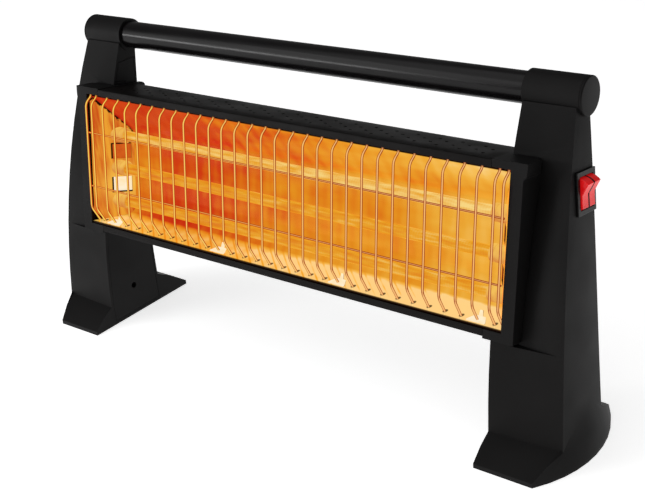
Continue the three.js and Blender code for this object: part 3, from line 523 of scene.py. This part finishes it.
def glowing_heating_alloy():
    # Iron, chromium and aluminium wire at orange heat, its oxide scale mottling it every 2 mm or so.
    finish, tree, surface, place = new_finish("glowing_heating_alloy")
    scale = add(tree, "ShaderNodeTexNoise", {"Vector": place, "Scale": per_mm(2), "Detail": 2.0})
    glow, sheen = patchy(tree, scale, ("#ff7a1e", "#ffb24a"), (0.4, 0.6))
    feed(tree, surface, {
        "Base Color": linear("#6b4a3a"),
        "Metallic": 1.0,
        "Roughness": sheen,
        "Emission Color": glow,
        "Emission Strength": 2.0,
    })
    return finish


def lit_steatite():
    # Steatite, pressed and fired unglazed, lit by the tubes, their light painted in as a glow: chalky yellow
    # above and orange below, in soft patches 9 mm across, with fired pores under 0.3 mm drawn at 0.8 mm so
    # that they show.
    finish, tree, surface, place = new_finish("lit_steatite")
    pores = add(tree, "ShaderNodeTexNoise", {"Vector": place, "Scale": per_mm(0.8), "Detail": 3.0})
    patches = add(tree, "ShaderNodeTexNoise", {"Vector": place, "Scale": per_mm(9), "Detail": 1.0})
    facing = add(tree, "ShaderNodeSeparateXYZ", {
        "Vector": add(tree, "ShaderNodeNewGeometry").outputs["Normal"]})
    # painted light: faces that look up glow yellower, those that look down more orange
    upward = add(tree, "ShaderNodeMapRange", {
        "Value": facing.outputs["Z"], "From Min": -1.0, "To Min": -0.25, "To Max": 0.5})
    chalk = add(tree, "ShaderNodeMixRGB", {
        "Fac": pores.outputs["Fac"], "Color1": linear("#2c1b0c"), "Color2": linear("#3c2812")})
    share = add(tree, "ShaderNodeMath", {
        0: patches.outputs["Fac"], 1: upward.outputs["Result"]}, operation="ADD", use_clamp=True)
    glow = add(tree, "ShaderNodeMixRGB", {
        "Fac": share.outputs["Value"], "Color1": linear("#cc4c0e"), "Color2": linear("#ffc858")})
    relief = add(tree, "ShaderNodeBump", {
        "Height": pores.outputs["Fac"], "Distance": 0.03 * MM, "Strength": 0.4})
    feed(tree, surface, {
        "Base Color": chalk.outputs["Color"],
        "Roughness": 0.75,
        "Emission Color": glow.outputs["Color"],
        "Emission Strength": 0.85,
        "Normal": relief.outputs["Normal"],
    })
    return finish


def fired_steatite():
    # Steatite, pressed and fired unglazed, away from the glow: chalky off-white, its pores again drawn at
    # 0.8 mm so that they show.
    finish, tree, surface, place = new_finish("fired_steatite")
    pores = add(tree, "ShaderNodeTexNoise", {"Vector": place, "Scale": per_mm(0.8), "Detail": 3.0})
    chalk = add(tree, "ShaderNodeMixRGB", {
        "Fac": pores.outputs["Fac"], "Color1": linear("#d6cdbb"), "Color2": linear("#eee7d9")})
    relief = add(tree, "ShaderNodeBump", {
        "Height": pores.outputs["Fac"], "Distance": 0.03 * MM, "Strength": 0.4})
    feed(tree, surface, {
        "Base Color": chalk.outputs["Color"],
        "Roughness": 0.75,
        "Normal": relief.outputs["Normal"],
    })
    return finish


def glossy_red_polycarbonate():
    # Polycarbonate, moulded glossy over a black core: a clear warm red, deeper in patches 6 mm across, with
    # the core showing as a black line 2 mm wide where the two rockers meet.
    finish, tree, surface, place = new_finish("glossy_red_polycarbonate")
    across = add(tree, "ShaderNodeVectorMath", {0: place, 1: SWITCH_ACROSS}, operation="DOT_PRODUCT")
    off_middle = off_by(tree, across.outputs["Value"], SWITCH_ACROSS.dot(SWITCH_MIDDLE_MM) * MM)
    red_share = add(tree, "ShaderNodeMath", {0: off_middle, 1: 1.0 * MM}, operation="GREATER_THAN")
    depth = add(tree, "ShaderNodeTexNoise", {"Vector": place, "Scale": per_mm(6), "Detail": 1.0})
    colour = add(tree, "ShaderNodeMixRGB", {
        "Fac": depth.outputs["Fac"], "Color1": linear("#c8060c"), "Color2": linear("#ea1a1c")})
    cored = add(tree, "ShaderNodeMixRGB", {
        "Fac": red_share.outputs["Value"], "Color1": linear("#070606"), "Color2": colour.outputs["Color"]})
    sheen = add(tree, "ShaderNodeMapRange", {
        "Value": depth.outputs["Fac"], **NOISE_SPAN, "To Min": 0.14, "To Max": 0.24})
    relief = add(tree, "ShaderNodeBump", {
        "Height": depth.outputs["Fac"], "Distance": 0.05 * MM, "Strength": 0.3})
    feed(tree, surface, {
        "Base Color": cored.outputs["Color"],
        "Roughness": sheen.outputs["Result"],
        "Specular IOR Level": 0.3,
        "Emission Color": cored.outputs["Color"],
        "Emission Strength": 0.35,
        "Normal": relief.outputs["Normal"],
    })
    return finish


def polished_black_nylon():
    # Nylon, moulded in a polished tool: near black with a soft sheen, dished every 8 mm or so over its ribs.
    finish, tree, surface, place = new_finish("polished_black_nylon")
    sink = add(tree, "ShaderNodeTexNoise", {"Vector": place, "Scale": per_mm(8), "Detail": 1.0})
    colour, sheen = patchy(tree, sink, ("#0c0c0c", "#141414"), (0.26, 0.36))
    relief = add(tree, "ShaderNodeBump", {
        "Height": sink.outputs["Fac"], "Distance": 0.04 * MM, "Strength": 0.3})
    feed(tree, surface, {
        "Base Color": colour,
        "Roughness": sheen,
        "Specular IOR Level": 0.2,
        "Normal": relief.outputs["Normal"],
    })
    return finish


def zinc_plated_steel():
    # Steel, cold headed or pressed, zinc plated and passivated: mid grey, its crystals about 0.5 mm across.
    finish, tree, surface, place = new_finish("zinc_plated_steel")
    crystals = add(tree, "ShaderNodeTexVoronoi", {"Vector": place, "Scale": per_mm(0.5)})
    colour = add(tree, "ShaderNodeMixRGB", {
        "Fac": crystals.outputs["Distance"], "Color1": linear("#a7a49c"), "Color2": linear("#827f78")})
    sheen = add(tree, "ShaderNodeMapRange", {
        "Value": crystals.outputs["Distance"], "To Min": 0.28, "To Max": 0.42})
    feed(tree, surface, {
        "Base Color": colour.outputs["Color"],
        "Metallic": 1.0,
        "Roughness": sheen.outputs["Result"],
    })
    return finish


def blackened_steel():
    # Steel, cold headed, then blackened and oiled: dark brown-black, with the oil's sheen in 1 mm patches.
    finish, tree, surface, place = new_finish("blackened_steel")
    oil = add(tree, "ShaderNodeTexNoise", {"Vector": place, "Scale": per_mm(1), "Detail": 2.0})
    colour, sheen = patchy(tree, oil, ("#1c1a18", "#2b2825"), (0.3, 0.5))
    feed(tree, surface, {
        "Base Color": colour,
        "Metallic": 1.0,
        "Roughness": sheen,
    })
    return finish


def stamped_brass():
    # Brass strip, rolled and stamped: warm yellow, tarnished in patches 5 mm across.
    finish, tree, surface, place = new_finish("stamped_brass")
    tarnish = add(tree, "ShaderNodeTexNoise", {"Vector": place, "Scale": per_mm(5), "Detail": 3.0})
    colour, sheen = patchy(tree, tarnish, ("#a9853a", "#cfae5c"), (0.25, 0.4))
    feed(tree, surface, {
        "Base Color": colour,
        "Metallic": 1.0,
        "Roughness": sheen,
    })
    return finish


def lit_bracket_aluminium():
    # The bright aluminium of the plates behind the tubes' ends, in their light: pale yellow beside the two
    # lower tubes and dull red-orange above them, with finger-pressed dents 6 mm across. The guard's clips,
    # just under the lowest tube, have the same look.
    finish, tree, surface, place = new_finish("lit_bracket_aluminium")
    body = in_leaning_body(tree, place)
    spot = add(tree, "ShaderNodeSeparateXYZ", {"Vector": body})
    # painted light: the plates glow pale yellow below 54 mm and dull red-orange above 64 mm
    low = add(tree, "ShaderNodeMapRange", {
        "Value": spot.outputs["Z"], "From Min": 64 * MM, "From Max": 54 * MM})
    dents = add(tree, "ShaderNodeTexNoise", {"Vector": place, "Scale": per_mm(6), "Detail": 2.0})
    dull = add(tree, "ShaderNodeMixRGB", {
        "Fac": dents.outputs["Fac"], "Color1": linear("#b23a10"), "Color2": linear("#dc6a1e")})
    bright = add(tree, "ShaderNodeMixRGB", {
        "Fac": dents.outputs["Fac"], "Color1": linear("#fde0a0"), "Color2": linear("#fffbea")})
    sheen = add(tree, "ShaderNodeMapRange", {
        "Value": dents.outputs["Fac"], **NOISE_SPAN, "To Min": 0.2, "To Max": 0.36})
    glow = add(tree, "ShaderNodeMixRGB", {
        "Fac": low.outputs["Result"], "Color1": dull.outputs["Color"], "Color2": bright.outputs["Color"]})
    lit_side = toward_tubes(tree, place)
    metal = metal_with_painted_reflection(tree, lit_side)
    strength = add(tree, "ShaderNodeMath", {0: lit_side, 1: 0.95}, operation="MULTIPLY")
    feed(tree, surface, {
        "Base Color": metal.outputs["Color"],
        "Metallic": 1.0,
        "Roughness": sheen.outputs["Result"],
        "Emission Color": glow.outputs["Color"],
        "Emission Strength": strength.outputs["Value"],
    })
    return finish


ABS = moulded_charcoal_abs()
SHEET = powder_coated_sheet()
ENAMEL = stoved_black_enamel()
CHROME = chrome_painted_glow()
TROUGH = bright_rolled_aluminium()
END_PLATE = bright_end_plate()
QUARTZ = lit_frosted_quartz()
ALLOY = glowing_heating_alloy()
LIT_CERAMIC = lit_steatite()
COOL_CERAMIC = fired_steatite()
RED = glossy_red_polycarbonate()
NYLON = polished_black_nylon()
ZINC = zinc_plated_steel()
BLACKENED = blackened_steel()
BRASS = stamped_brass()
LIT_PLATE = lit_bracket_aluminium()

# ---- which finish each CAD node takes ----
SLOT_FINISHES = {
    "charcoal_plastic": ABS, "black_sheet": SHEET, "gloss_black": ENAMEL, "chrome_wire": CHROME,
    "polished_reflector": TROUGH, "quartz": QUARTZ, "heating_alloy": ALLOY, "ceramic": LIT_CERAMIC,
    "brass": BRASS, "screw_steel": ZINC, "black_plastic": NYLON, "red_plastic": RED,
}
OWN_FINISHES = {
    "right_reflector_end": END_PLATE, "left_reflector_end": END_PLATE, "right_cap_bracket": LIT_PLATE,
    "left_cap_bracket": LIT_PLATE, "right_leg_screw": BLACKENED, "left_leg_screw": BLACKENED,
    "terminal_block": COOL_CERAMIC,
}
NODE_SLOTS = {entry["node"]: entry["material_slot"] for entry in frame["record"]["subparts"]}


def finish_of(name):
    """A node's own finish where it has one, and otherwise its material slot's."""
    return OWN_FINISHES.get(name) or SLOT_FINISHES[NODE_SLOTS[name]]


# ---- piece helpers ----
SIDES = ((1, "right"), (-1, "left"))
SAME_SPOT_M = 1e-6      # corners nearer than this are one corner
FLAT_DEG = 0.6          # faces that turn by less are one flat face
SMOOTH_DEG = 32         # and by less than this, one smooth curve
ROUNDED_DEG = 34        # edges that turn by more are rounded


def as_piece(name, mesh, finish, replaced, body="base"):
    """Puts a mesh in the scene as a piece that stands for the CAD nodes it replaces."""
    piece = bpy.data.objects.new(name, mesh)
    bpy.context.collection.objects.link(piece)
    mesh.materials.clear()
    mesh.materials.append(finish)
    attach(piece, body)
    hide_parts(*replaced)
    return piece


def shade_by_angle(grid):
    """Smooth faces, with an edge left sharp wherever the faces turn too far."""
    for face in grid.faces:
        face.smooth = True
    for edge in grid.edges:
        turn = edge.calc_face_angle(math.pi) if len(edge.link_faces) == 2 else math.pi
        edge.smooth = turn < math.radians(SMOOTH_DEG)


def baked(piece):
    """Applies a piece's modifiers to its mesh."""
    ready = piece.evaluated_get(bpy.context.evaluated_depsgraph_get())
    mesh = bpy.data.meshes.new_from_object(ready)
    piece.modifiers.clear()
    piece.data = mesh


def softened(name, edge_mm, body="base", steps=2):
    """The CAD solid again, with its flat faces whole and its edges rounded as made."""
    grid = bmesh.new()
    grid.from_mesh(frame["nodes"][name].data)
    bmesh.ops.remove_doubles(grid, verts=grid.verts, dist=SAME_SPOT_M)
    bmesh.ops.dissolve_limit(grid, angle_limit=math.radians(FLAT_DEG), verts=grid.verts, edges=grid.edges)
    shade_by_angle(grid)
    mesh = bpy.data.meshes.new(name + "_rounded")
    grid.to_mesh(mesh)
    grid.free()
    piece = as_piece(name + "_rounded", mesh, finish_of(name), [name], body)
    if edge_mm:
        rounding = piece.modifiers.new("rounding", "BEVEL")
        rounding.width = edge_mm * MM
        rounding.segments = steps
        rounding.limit_method = "ANGLE"
        rounding.angle_limit = math.radians(ROUNDED_DEG)
        rounding.harden_normals = True
        rounding.use_clamp_overlap = True
        baked(piece)
    return piece


PAN_EDGE_THICK_MM = 1.5
PAN_EDGE_TOP_MM = 12
PAN_FLARE = 0.66        # how far the pan's ends spread for each millimetre forward


def pan_to_lip(trough):
    """Brings the pan's folded front edge up to the opening's lip, past the feet of the wires."""
    to_body = BODY_PLACE.inverted()
    forward = PAN_FRONT_MM - PAN_LIP_MM
    for corner in trough.data.vertices:
        spot = to_body @ (corner.co / MM)
        if spot.y < PAN_FRONT_MM + PAN_EDGE_THICK_MM and spot.z < PAN_EDGE_TOP_MM:
            spot.y -= forward
            spot.x += math.copysign(PAN_FLARE * forward, spot.x)
            corner.co = BODY_PLACE @ spot * MM


def revolved(name, profile, axis_y, axis_z, finish, replaced, place=LEVEL, sides=64):
    """Turns a profile of (x, radius) points in mm about an axis along X."""
    grid = bmesh.new()
    rings = []
    for x, radius in profile:
        if radius == 0:
            rings.append([grid.verts.new(place @ Vector((x, axis_y, axis_z)) * MM)])
            continue
        ring = []
        for k in range(sides):
            angle = 2 * math.pi * k / sides
            spot = Vector((x, axis_y + radius * math.cos(angle), axis_z + radius * math.sin(angle)))
            ring.append(grid.verts.new(place @ spot * MM))
        rings.append(ring)
    for first, second in zip(rings, rings[1:]):
        for k in range(sides):
            after = (k + 1) % sides
            corners = [first[k % len(first)], first[after % len(first)],
                       second[after % len(second)], second[k % len(second)]]
            grid.faces.new(list(dict.fromkeys(corners)))
    bmesh.ops.recalc_face_normals(grid, faces=grid.faces)
    shade_by_angle(grid)
    mesh = bpy.data.meshes.new(name)
    grid.to_mesh(mesh)
    grid.free()
    return as_piece(name, mesh, finish, replaced)


def rounded_path(points, radius, steps=5):
    """An open path in depth and height, each corner bent over a little less than half of its sides."""
    path = [Vector(points[0])]
    for before, corner, after in zip(points, points[1:], points[2:]):
        corner, start, end = Vector(corner), Vector(before), Vector(after)
        reach = min(radius, (corner - start).length / 2.1, (corner - end).length / 2.1)
        first = corner + (start - corner).normalized() * reach
        last = corner + (end - corner).normalized() * reach
        for k in range(steps + 1):
            share = k / steps
            path.append(first * (1 - share) ** 2 + corner * 2 * share * (1 - share) + last * share ** 2)
    path.append(Vector(points[-1]))
    return path


# ---- wire guard: each wire's path in depth and height, in mm from the leaning body's corner ----
WIRE_COUNT = 30         # at the full pitch, with one more at each end after half a pitch
WIRE_RADIUS = 1.05
CROSS_RADIUS = 0.85
CROSS_HEIGHTS = (44.6, 96.5)
CROSS_PAST_END = 1      # how far the two cross wires run on past the end wires
WELD_DEPTH = 0.5        # how far a cross wire is melted into the wires it crosses
WIRE_BEND = 4.0
GUARD_TOP = (-3.6, 124.4)
GUARD_FOOT = (-1.6, 23.4)
GUARD_PATH = [(3, 135.1), (3, 130.2), GUARD_TOP, GUARD_FOOT, (11, 5.7)]


def add_wire(curve, points, radius):
    """Draws one wire of the guard through points in the leaning body's frame."""
    line = curve.splines.new("POLY")
    line.points.add(len(points) - 1)
    for spot, point in zip(line.points, points):
        spot.co = (*(BODY_PLACE @ point * MM), 1)
        spot.radius = radius / WIRE_RADIUS
    line.use_smooth = True


def welded_wire_guard():
    """The guard: bent upright wires, with two cross wires welded behind them."""
    curve = bpy.data.curves.new("welded_wire_guard", "CURVE")
    curve.dimensions = "3D"
    curve.bevel_depth = WIRE_RADIUS * MM
    curve.bevel_resolution = 3
    curve.use_fill_caps = True
    half = (WIRE_COUNT - 1) / 2 * WIRE_PITCH
    last = half + WIRE_PITCH / 2
    path = rounded_path(GUARD_PATH, WIRE_BEND)
    for x in [-last] + [-half + i * WIRE_PITCH for i in range(WIRE_COUNT)] + [last]:
        add_wire(curve, [Vector((x, point.x, point.y)) for point in path], WIRE_RADIUS)
    reach = last + CROSS_PAST_END
    for height in CROSS_HEIGHTS:
        lean = (GUARD_TOP[1] - height) / (GUARD_TOP[1] - GUARD_FOOT[1])
        front = GUARD_TOP[0] + (GUARD_FOOT[0] - GUARD_TOP[0]) * lean
        depth = front + WIRE_RADIUS + CROSS_RADIUS - WELD_DEPTH
        add_wire(curve, [Vector((x, depth, height)) for x in (-reach, 0, reach)], CROSS_RADIUS)
    guard = bpy.data.objects.new("welded_wire_guard", curve)
    bpy.context.collection.objects.link(guard)
    curve.materials.append(CHROME)
    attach(guard, "base")
    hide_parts("wire_guard")


# ---- spring clips that hold every ninth wire down on the pan ----
CLIP_PLACES = [-202.5, -67.5, 67.5, 202.5]
CLIP_SHEET = 0.8
# one clip's outline, from its broad front edge back to the tongue that stands up behind the wire
CLIP_CORNERS = [
    (-7.5, 3.6, 8.2), (7.5, 3.6, 8.2), (8.5, 5.4, 9.2), (4.8, 12.5, 11.2), (1.9, 12.9, 11.3),
    (1.3, 14.0, 16.0), (-1.3, 14.0, 16.0), (-1.9, 12.9, 11.3), (-4.8, 12.5, 11.2), (-8.5, 5.4, 9.2),
]
CLIP_FACES = ((0, 1, 2, 9), (2, 3, 8, 9), (3, 4, 7, 8), (4, 5, 6, 7))


def sprung_guard_clips():
    """Four folded sheet clips, as one piece."""
    grid = bmesh.new()
    for x in CLIP_PLACES:
        ring = [grid.verts.new(BODY_PLACE @ Vector((x + dx, y, z)) * MM) for dx, y, z in CLIP_CORNERS]
        for face in CLIP_FACES:
            grid.faces.new([ring[k] for k in face])
    shade_by_angle(grid)
    mesh = bpy.data.meshes.new("sprung_guard_clips")
    grid.to_mesh(mesh)
    grid.free()
    clips = bpy.data.objects.new("sprung_guard_clips", mesh)
    bpy.context.collection.objects.link(clips)
    mesh.materials.append(LIT_PLATE)
    thickness = clips.modifiers.new("thickness", "SOLIDIFY")
    thickness.thickness = CLIP_SHEET * MM
    thickness.offset = 0
    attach(clips, "base")
    baked(clips)


# ---- quartz tubes, coils and caps: profiles are places along the tube and radii, in mm ----
TUBE_HEIGHTS = [27.8, 59.8, 91.8]
TUBE_DEPTH = 25.5
QUARTZ_PROFILE = [(-208, 4), (-208, 5), (208, 5), (208, 4), (-208, 4)]
COIL_PROFILE = [        # thin leads at both ends of the glowing core
    (-226, 0), (-226, 1.2), (-205, 1.2), (-200, 3.7), (200, 3.7), (205, 1.2), (226, 1.2), (226, 0),
]
CERAMIC_PROFILE = [     # the groove is from 206 to 207.3
    (202, 5.3), (202, 6.5), (202.3, 6.9), (202.8, 7.2), (206, 7.2), (206.3, 6.7), (207, 6.7), (207.3, 7.2),
    (221, 7.2), (221, 1.5), (208.3, 1.5), (208.3, 5.3), (202, 5.3),
]


def heating_tubes():
    """The three tubes, lowest first, each with its coil and a ceramic cap on each end."""
    for number, height in enumerate(TUBE_HEIGHTS, 1):
        revolved(f"drawn_quartz_{number}", QUARTZ_PROFILE, TUBE_DEPTH, height, QUARTZ,
                 [f"quartz_tube_{number}"], BODY_PLACE, 48)
        revolved(f"coil_core_{number}", COIL_PROFILE, TUBE_DEPTH, height, ALLOY,
                 [f"heating_coil_{number}"], BODY_PLACE, 24)
        for side, name in SIDES:
            profile = [(side * x, radius) for x, radius in CERAMIC_PROFILE]
            revolved(f"{name}_pressed_cap_{number}", profile, TUBE_DEPTH, height, LIT_CERAMIC,
                     [f"{name}_ceramic_cap_{number}"], BODY_PLACE, 40)


# ---- carrying bar and its caps: profiles as for the tubes ----
BAR_DEPTH = 42.4
BAR_HEIGHT = 274.8
BAR_PROFILE = [(-252.2, 11), (-252.2, 12.4), (252.2, 12.4), (252.2, 11), (-252.2, 11)]
BAR_CAP_PROFILE = [     # a plug inside the sleeve, and a rounded disc that closes it
    (253.5, 0), (253.5, 12.3), (261.5, 12.3), (261.5, 15), (262.7, 15), (263.1, 14.8), (263.4, 14.4),
    (263.5, 13.9), (263.5, 0),
]


def carrying_bar():
    """The round bar between the legs' tops, with a moulded cap in each end's sleeve."""
    revolved("enamelled_bar", BAR_PROFILE, BAR_DEPTH, BAR_HEIGHT, ENAMEL, ["handle_bar"])
    for side, name in SIDES:
        profile = [(side * x, radius) for x, radius in BAR_CAP_PROFILE]
        revolved(f"{name}_moulded_cap", profile, BAR_DEPTH, BAR_HEIGHT, ABS, [f"{name}_bar_cap"], sides=72)


# ---- floor and light ----
FLOOR_REACH = 30.0      # metres, far enough that no view shows its edge near the heater
HEATER_MIDDLE = Vector((0, 0, 0.12))
SKY_LIGHT = 0.14        # the sky's light on the heater
SKY_SEEN = 0.7          # what the backdrop has on top of that, to look pale


def pale_floor():
    """A wide, plain, nearly white floor."""
    mesh = bpy.data.meshes.new("floor")
    corners = [(x * FLOOR_REACH, y * FLOOR_REACH, 0) for x, y in ((-1, -1), (1, -1), (1, 1), (-1, 1))]
    mesh.from_pydata(corners, [], [(0, 1, 2, 3)])
    floor = bpy.data.objects.new("floor", mesh)
    bpy.context.collection.objects.link(floor)
    paper, tree, surface, _ = new_finish("pale_floor")
    feed(tree, surface, {
        "Base Color": linear("#fbfbfb"),
        "Roughness": 0.9,
        "Specular IOR Level": 0.1,
        "Emission Color": linear("#ffffff"),
        "Emission Strength": 0.7,
    })
    mesh.materials.append(paper)


def soft_light(name, at, size, watts):
    """An even panel of light, turned to the middle of the heater."""
    lamp = bpy.data.lights.new(name, "AREA")
    lamp.shape = "RECTANGLE"
    lamp.size, lamp.size_y = size
    lamp.energy = watts
    light = bpy.data.objects.new(name, lamp)
    light.location = at
    light.rotation_euler = (HEATER_MIDDLE - Vector(at)).to_track_quat("-Z", "Y").to_euler()
    bpy.context.collection.objects.link(light)


def studio():
    """Soft light from above and from the front left, and a little from the right, as in the photograph."""
    pale_floor()
    world = bpy.data.worlds.new("studio")
    world.use_nodes = True
    tree = world.node_tree
    seen = add(tree, "ShaderNodeLightPath").outputs["Is Camera Ray"]
    strength = add(tree, "ShaderNodeMath", {0: seen, 1: SKY_SEEN, 2: SKY_LIGHT}, operation="MULTIPLY_ADD")
    feed(tree, tree.nodes["Background"], {"Color": (1, 1, 1, 1), "Strength": strength.outputs["Value"]})
    bpy.context.scene.world = world
    soft_light("overhead", (-0.3, -0.7, 2.4), (2.8, 2.6), 20)
    soft_light("front_left_strip", (-2.1, -2.2, 0.63), (1.1, 0.4), 16)
    soft_light("front_left", (-1.6, -1.8, 1.5), (1.4, 1.4), 12)
    soft_light("right_side", (2.0, -0.6, 1.2), (1.2, 1.4), 0.8)


# ---- the heater, piece by piece ----
place_camera()
bpy.context.scene.view_settings.view_transform = "Standard"
for node_name, cad in frame["nodes"].items():
    cad.data.materials.clear()
    cad.data.materials.append(finish_of(node_name))

EDGES_MM = {    # how far each piece's edges are rounded; folded sheet keeps the CAD's
    "right_leg_shell": 0.7, "left_leg_shell": 0.7, "right_end_frame": 0.4, "left_end_frame": 0.4,
    "right_leg_cover": 0.3, "left_leg_cover": 0.3, "sheet_case": 0, "right_reflector_end": 0,
    "left_reflector_end": 0,
}
for node_name, edge_mm in EDGES_MM.items():
    softened(node_name, edge_mm)
pan_to_lip(softened("reflector", 0))
softened("switch_housing", 0.5)
softened("front_rocker", 0.5, "front_rocker", 3)
softened("rear_rocker", 0.5, "rear_rocker", 3)
welded_wire_guard()
sprung_guard_clips()
heating_tubes()
carrying_bar()
studio()
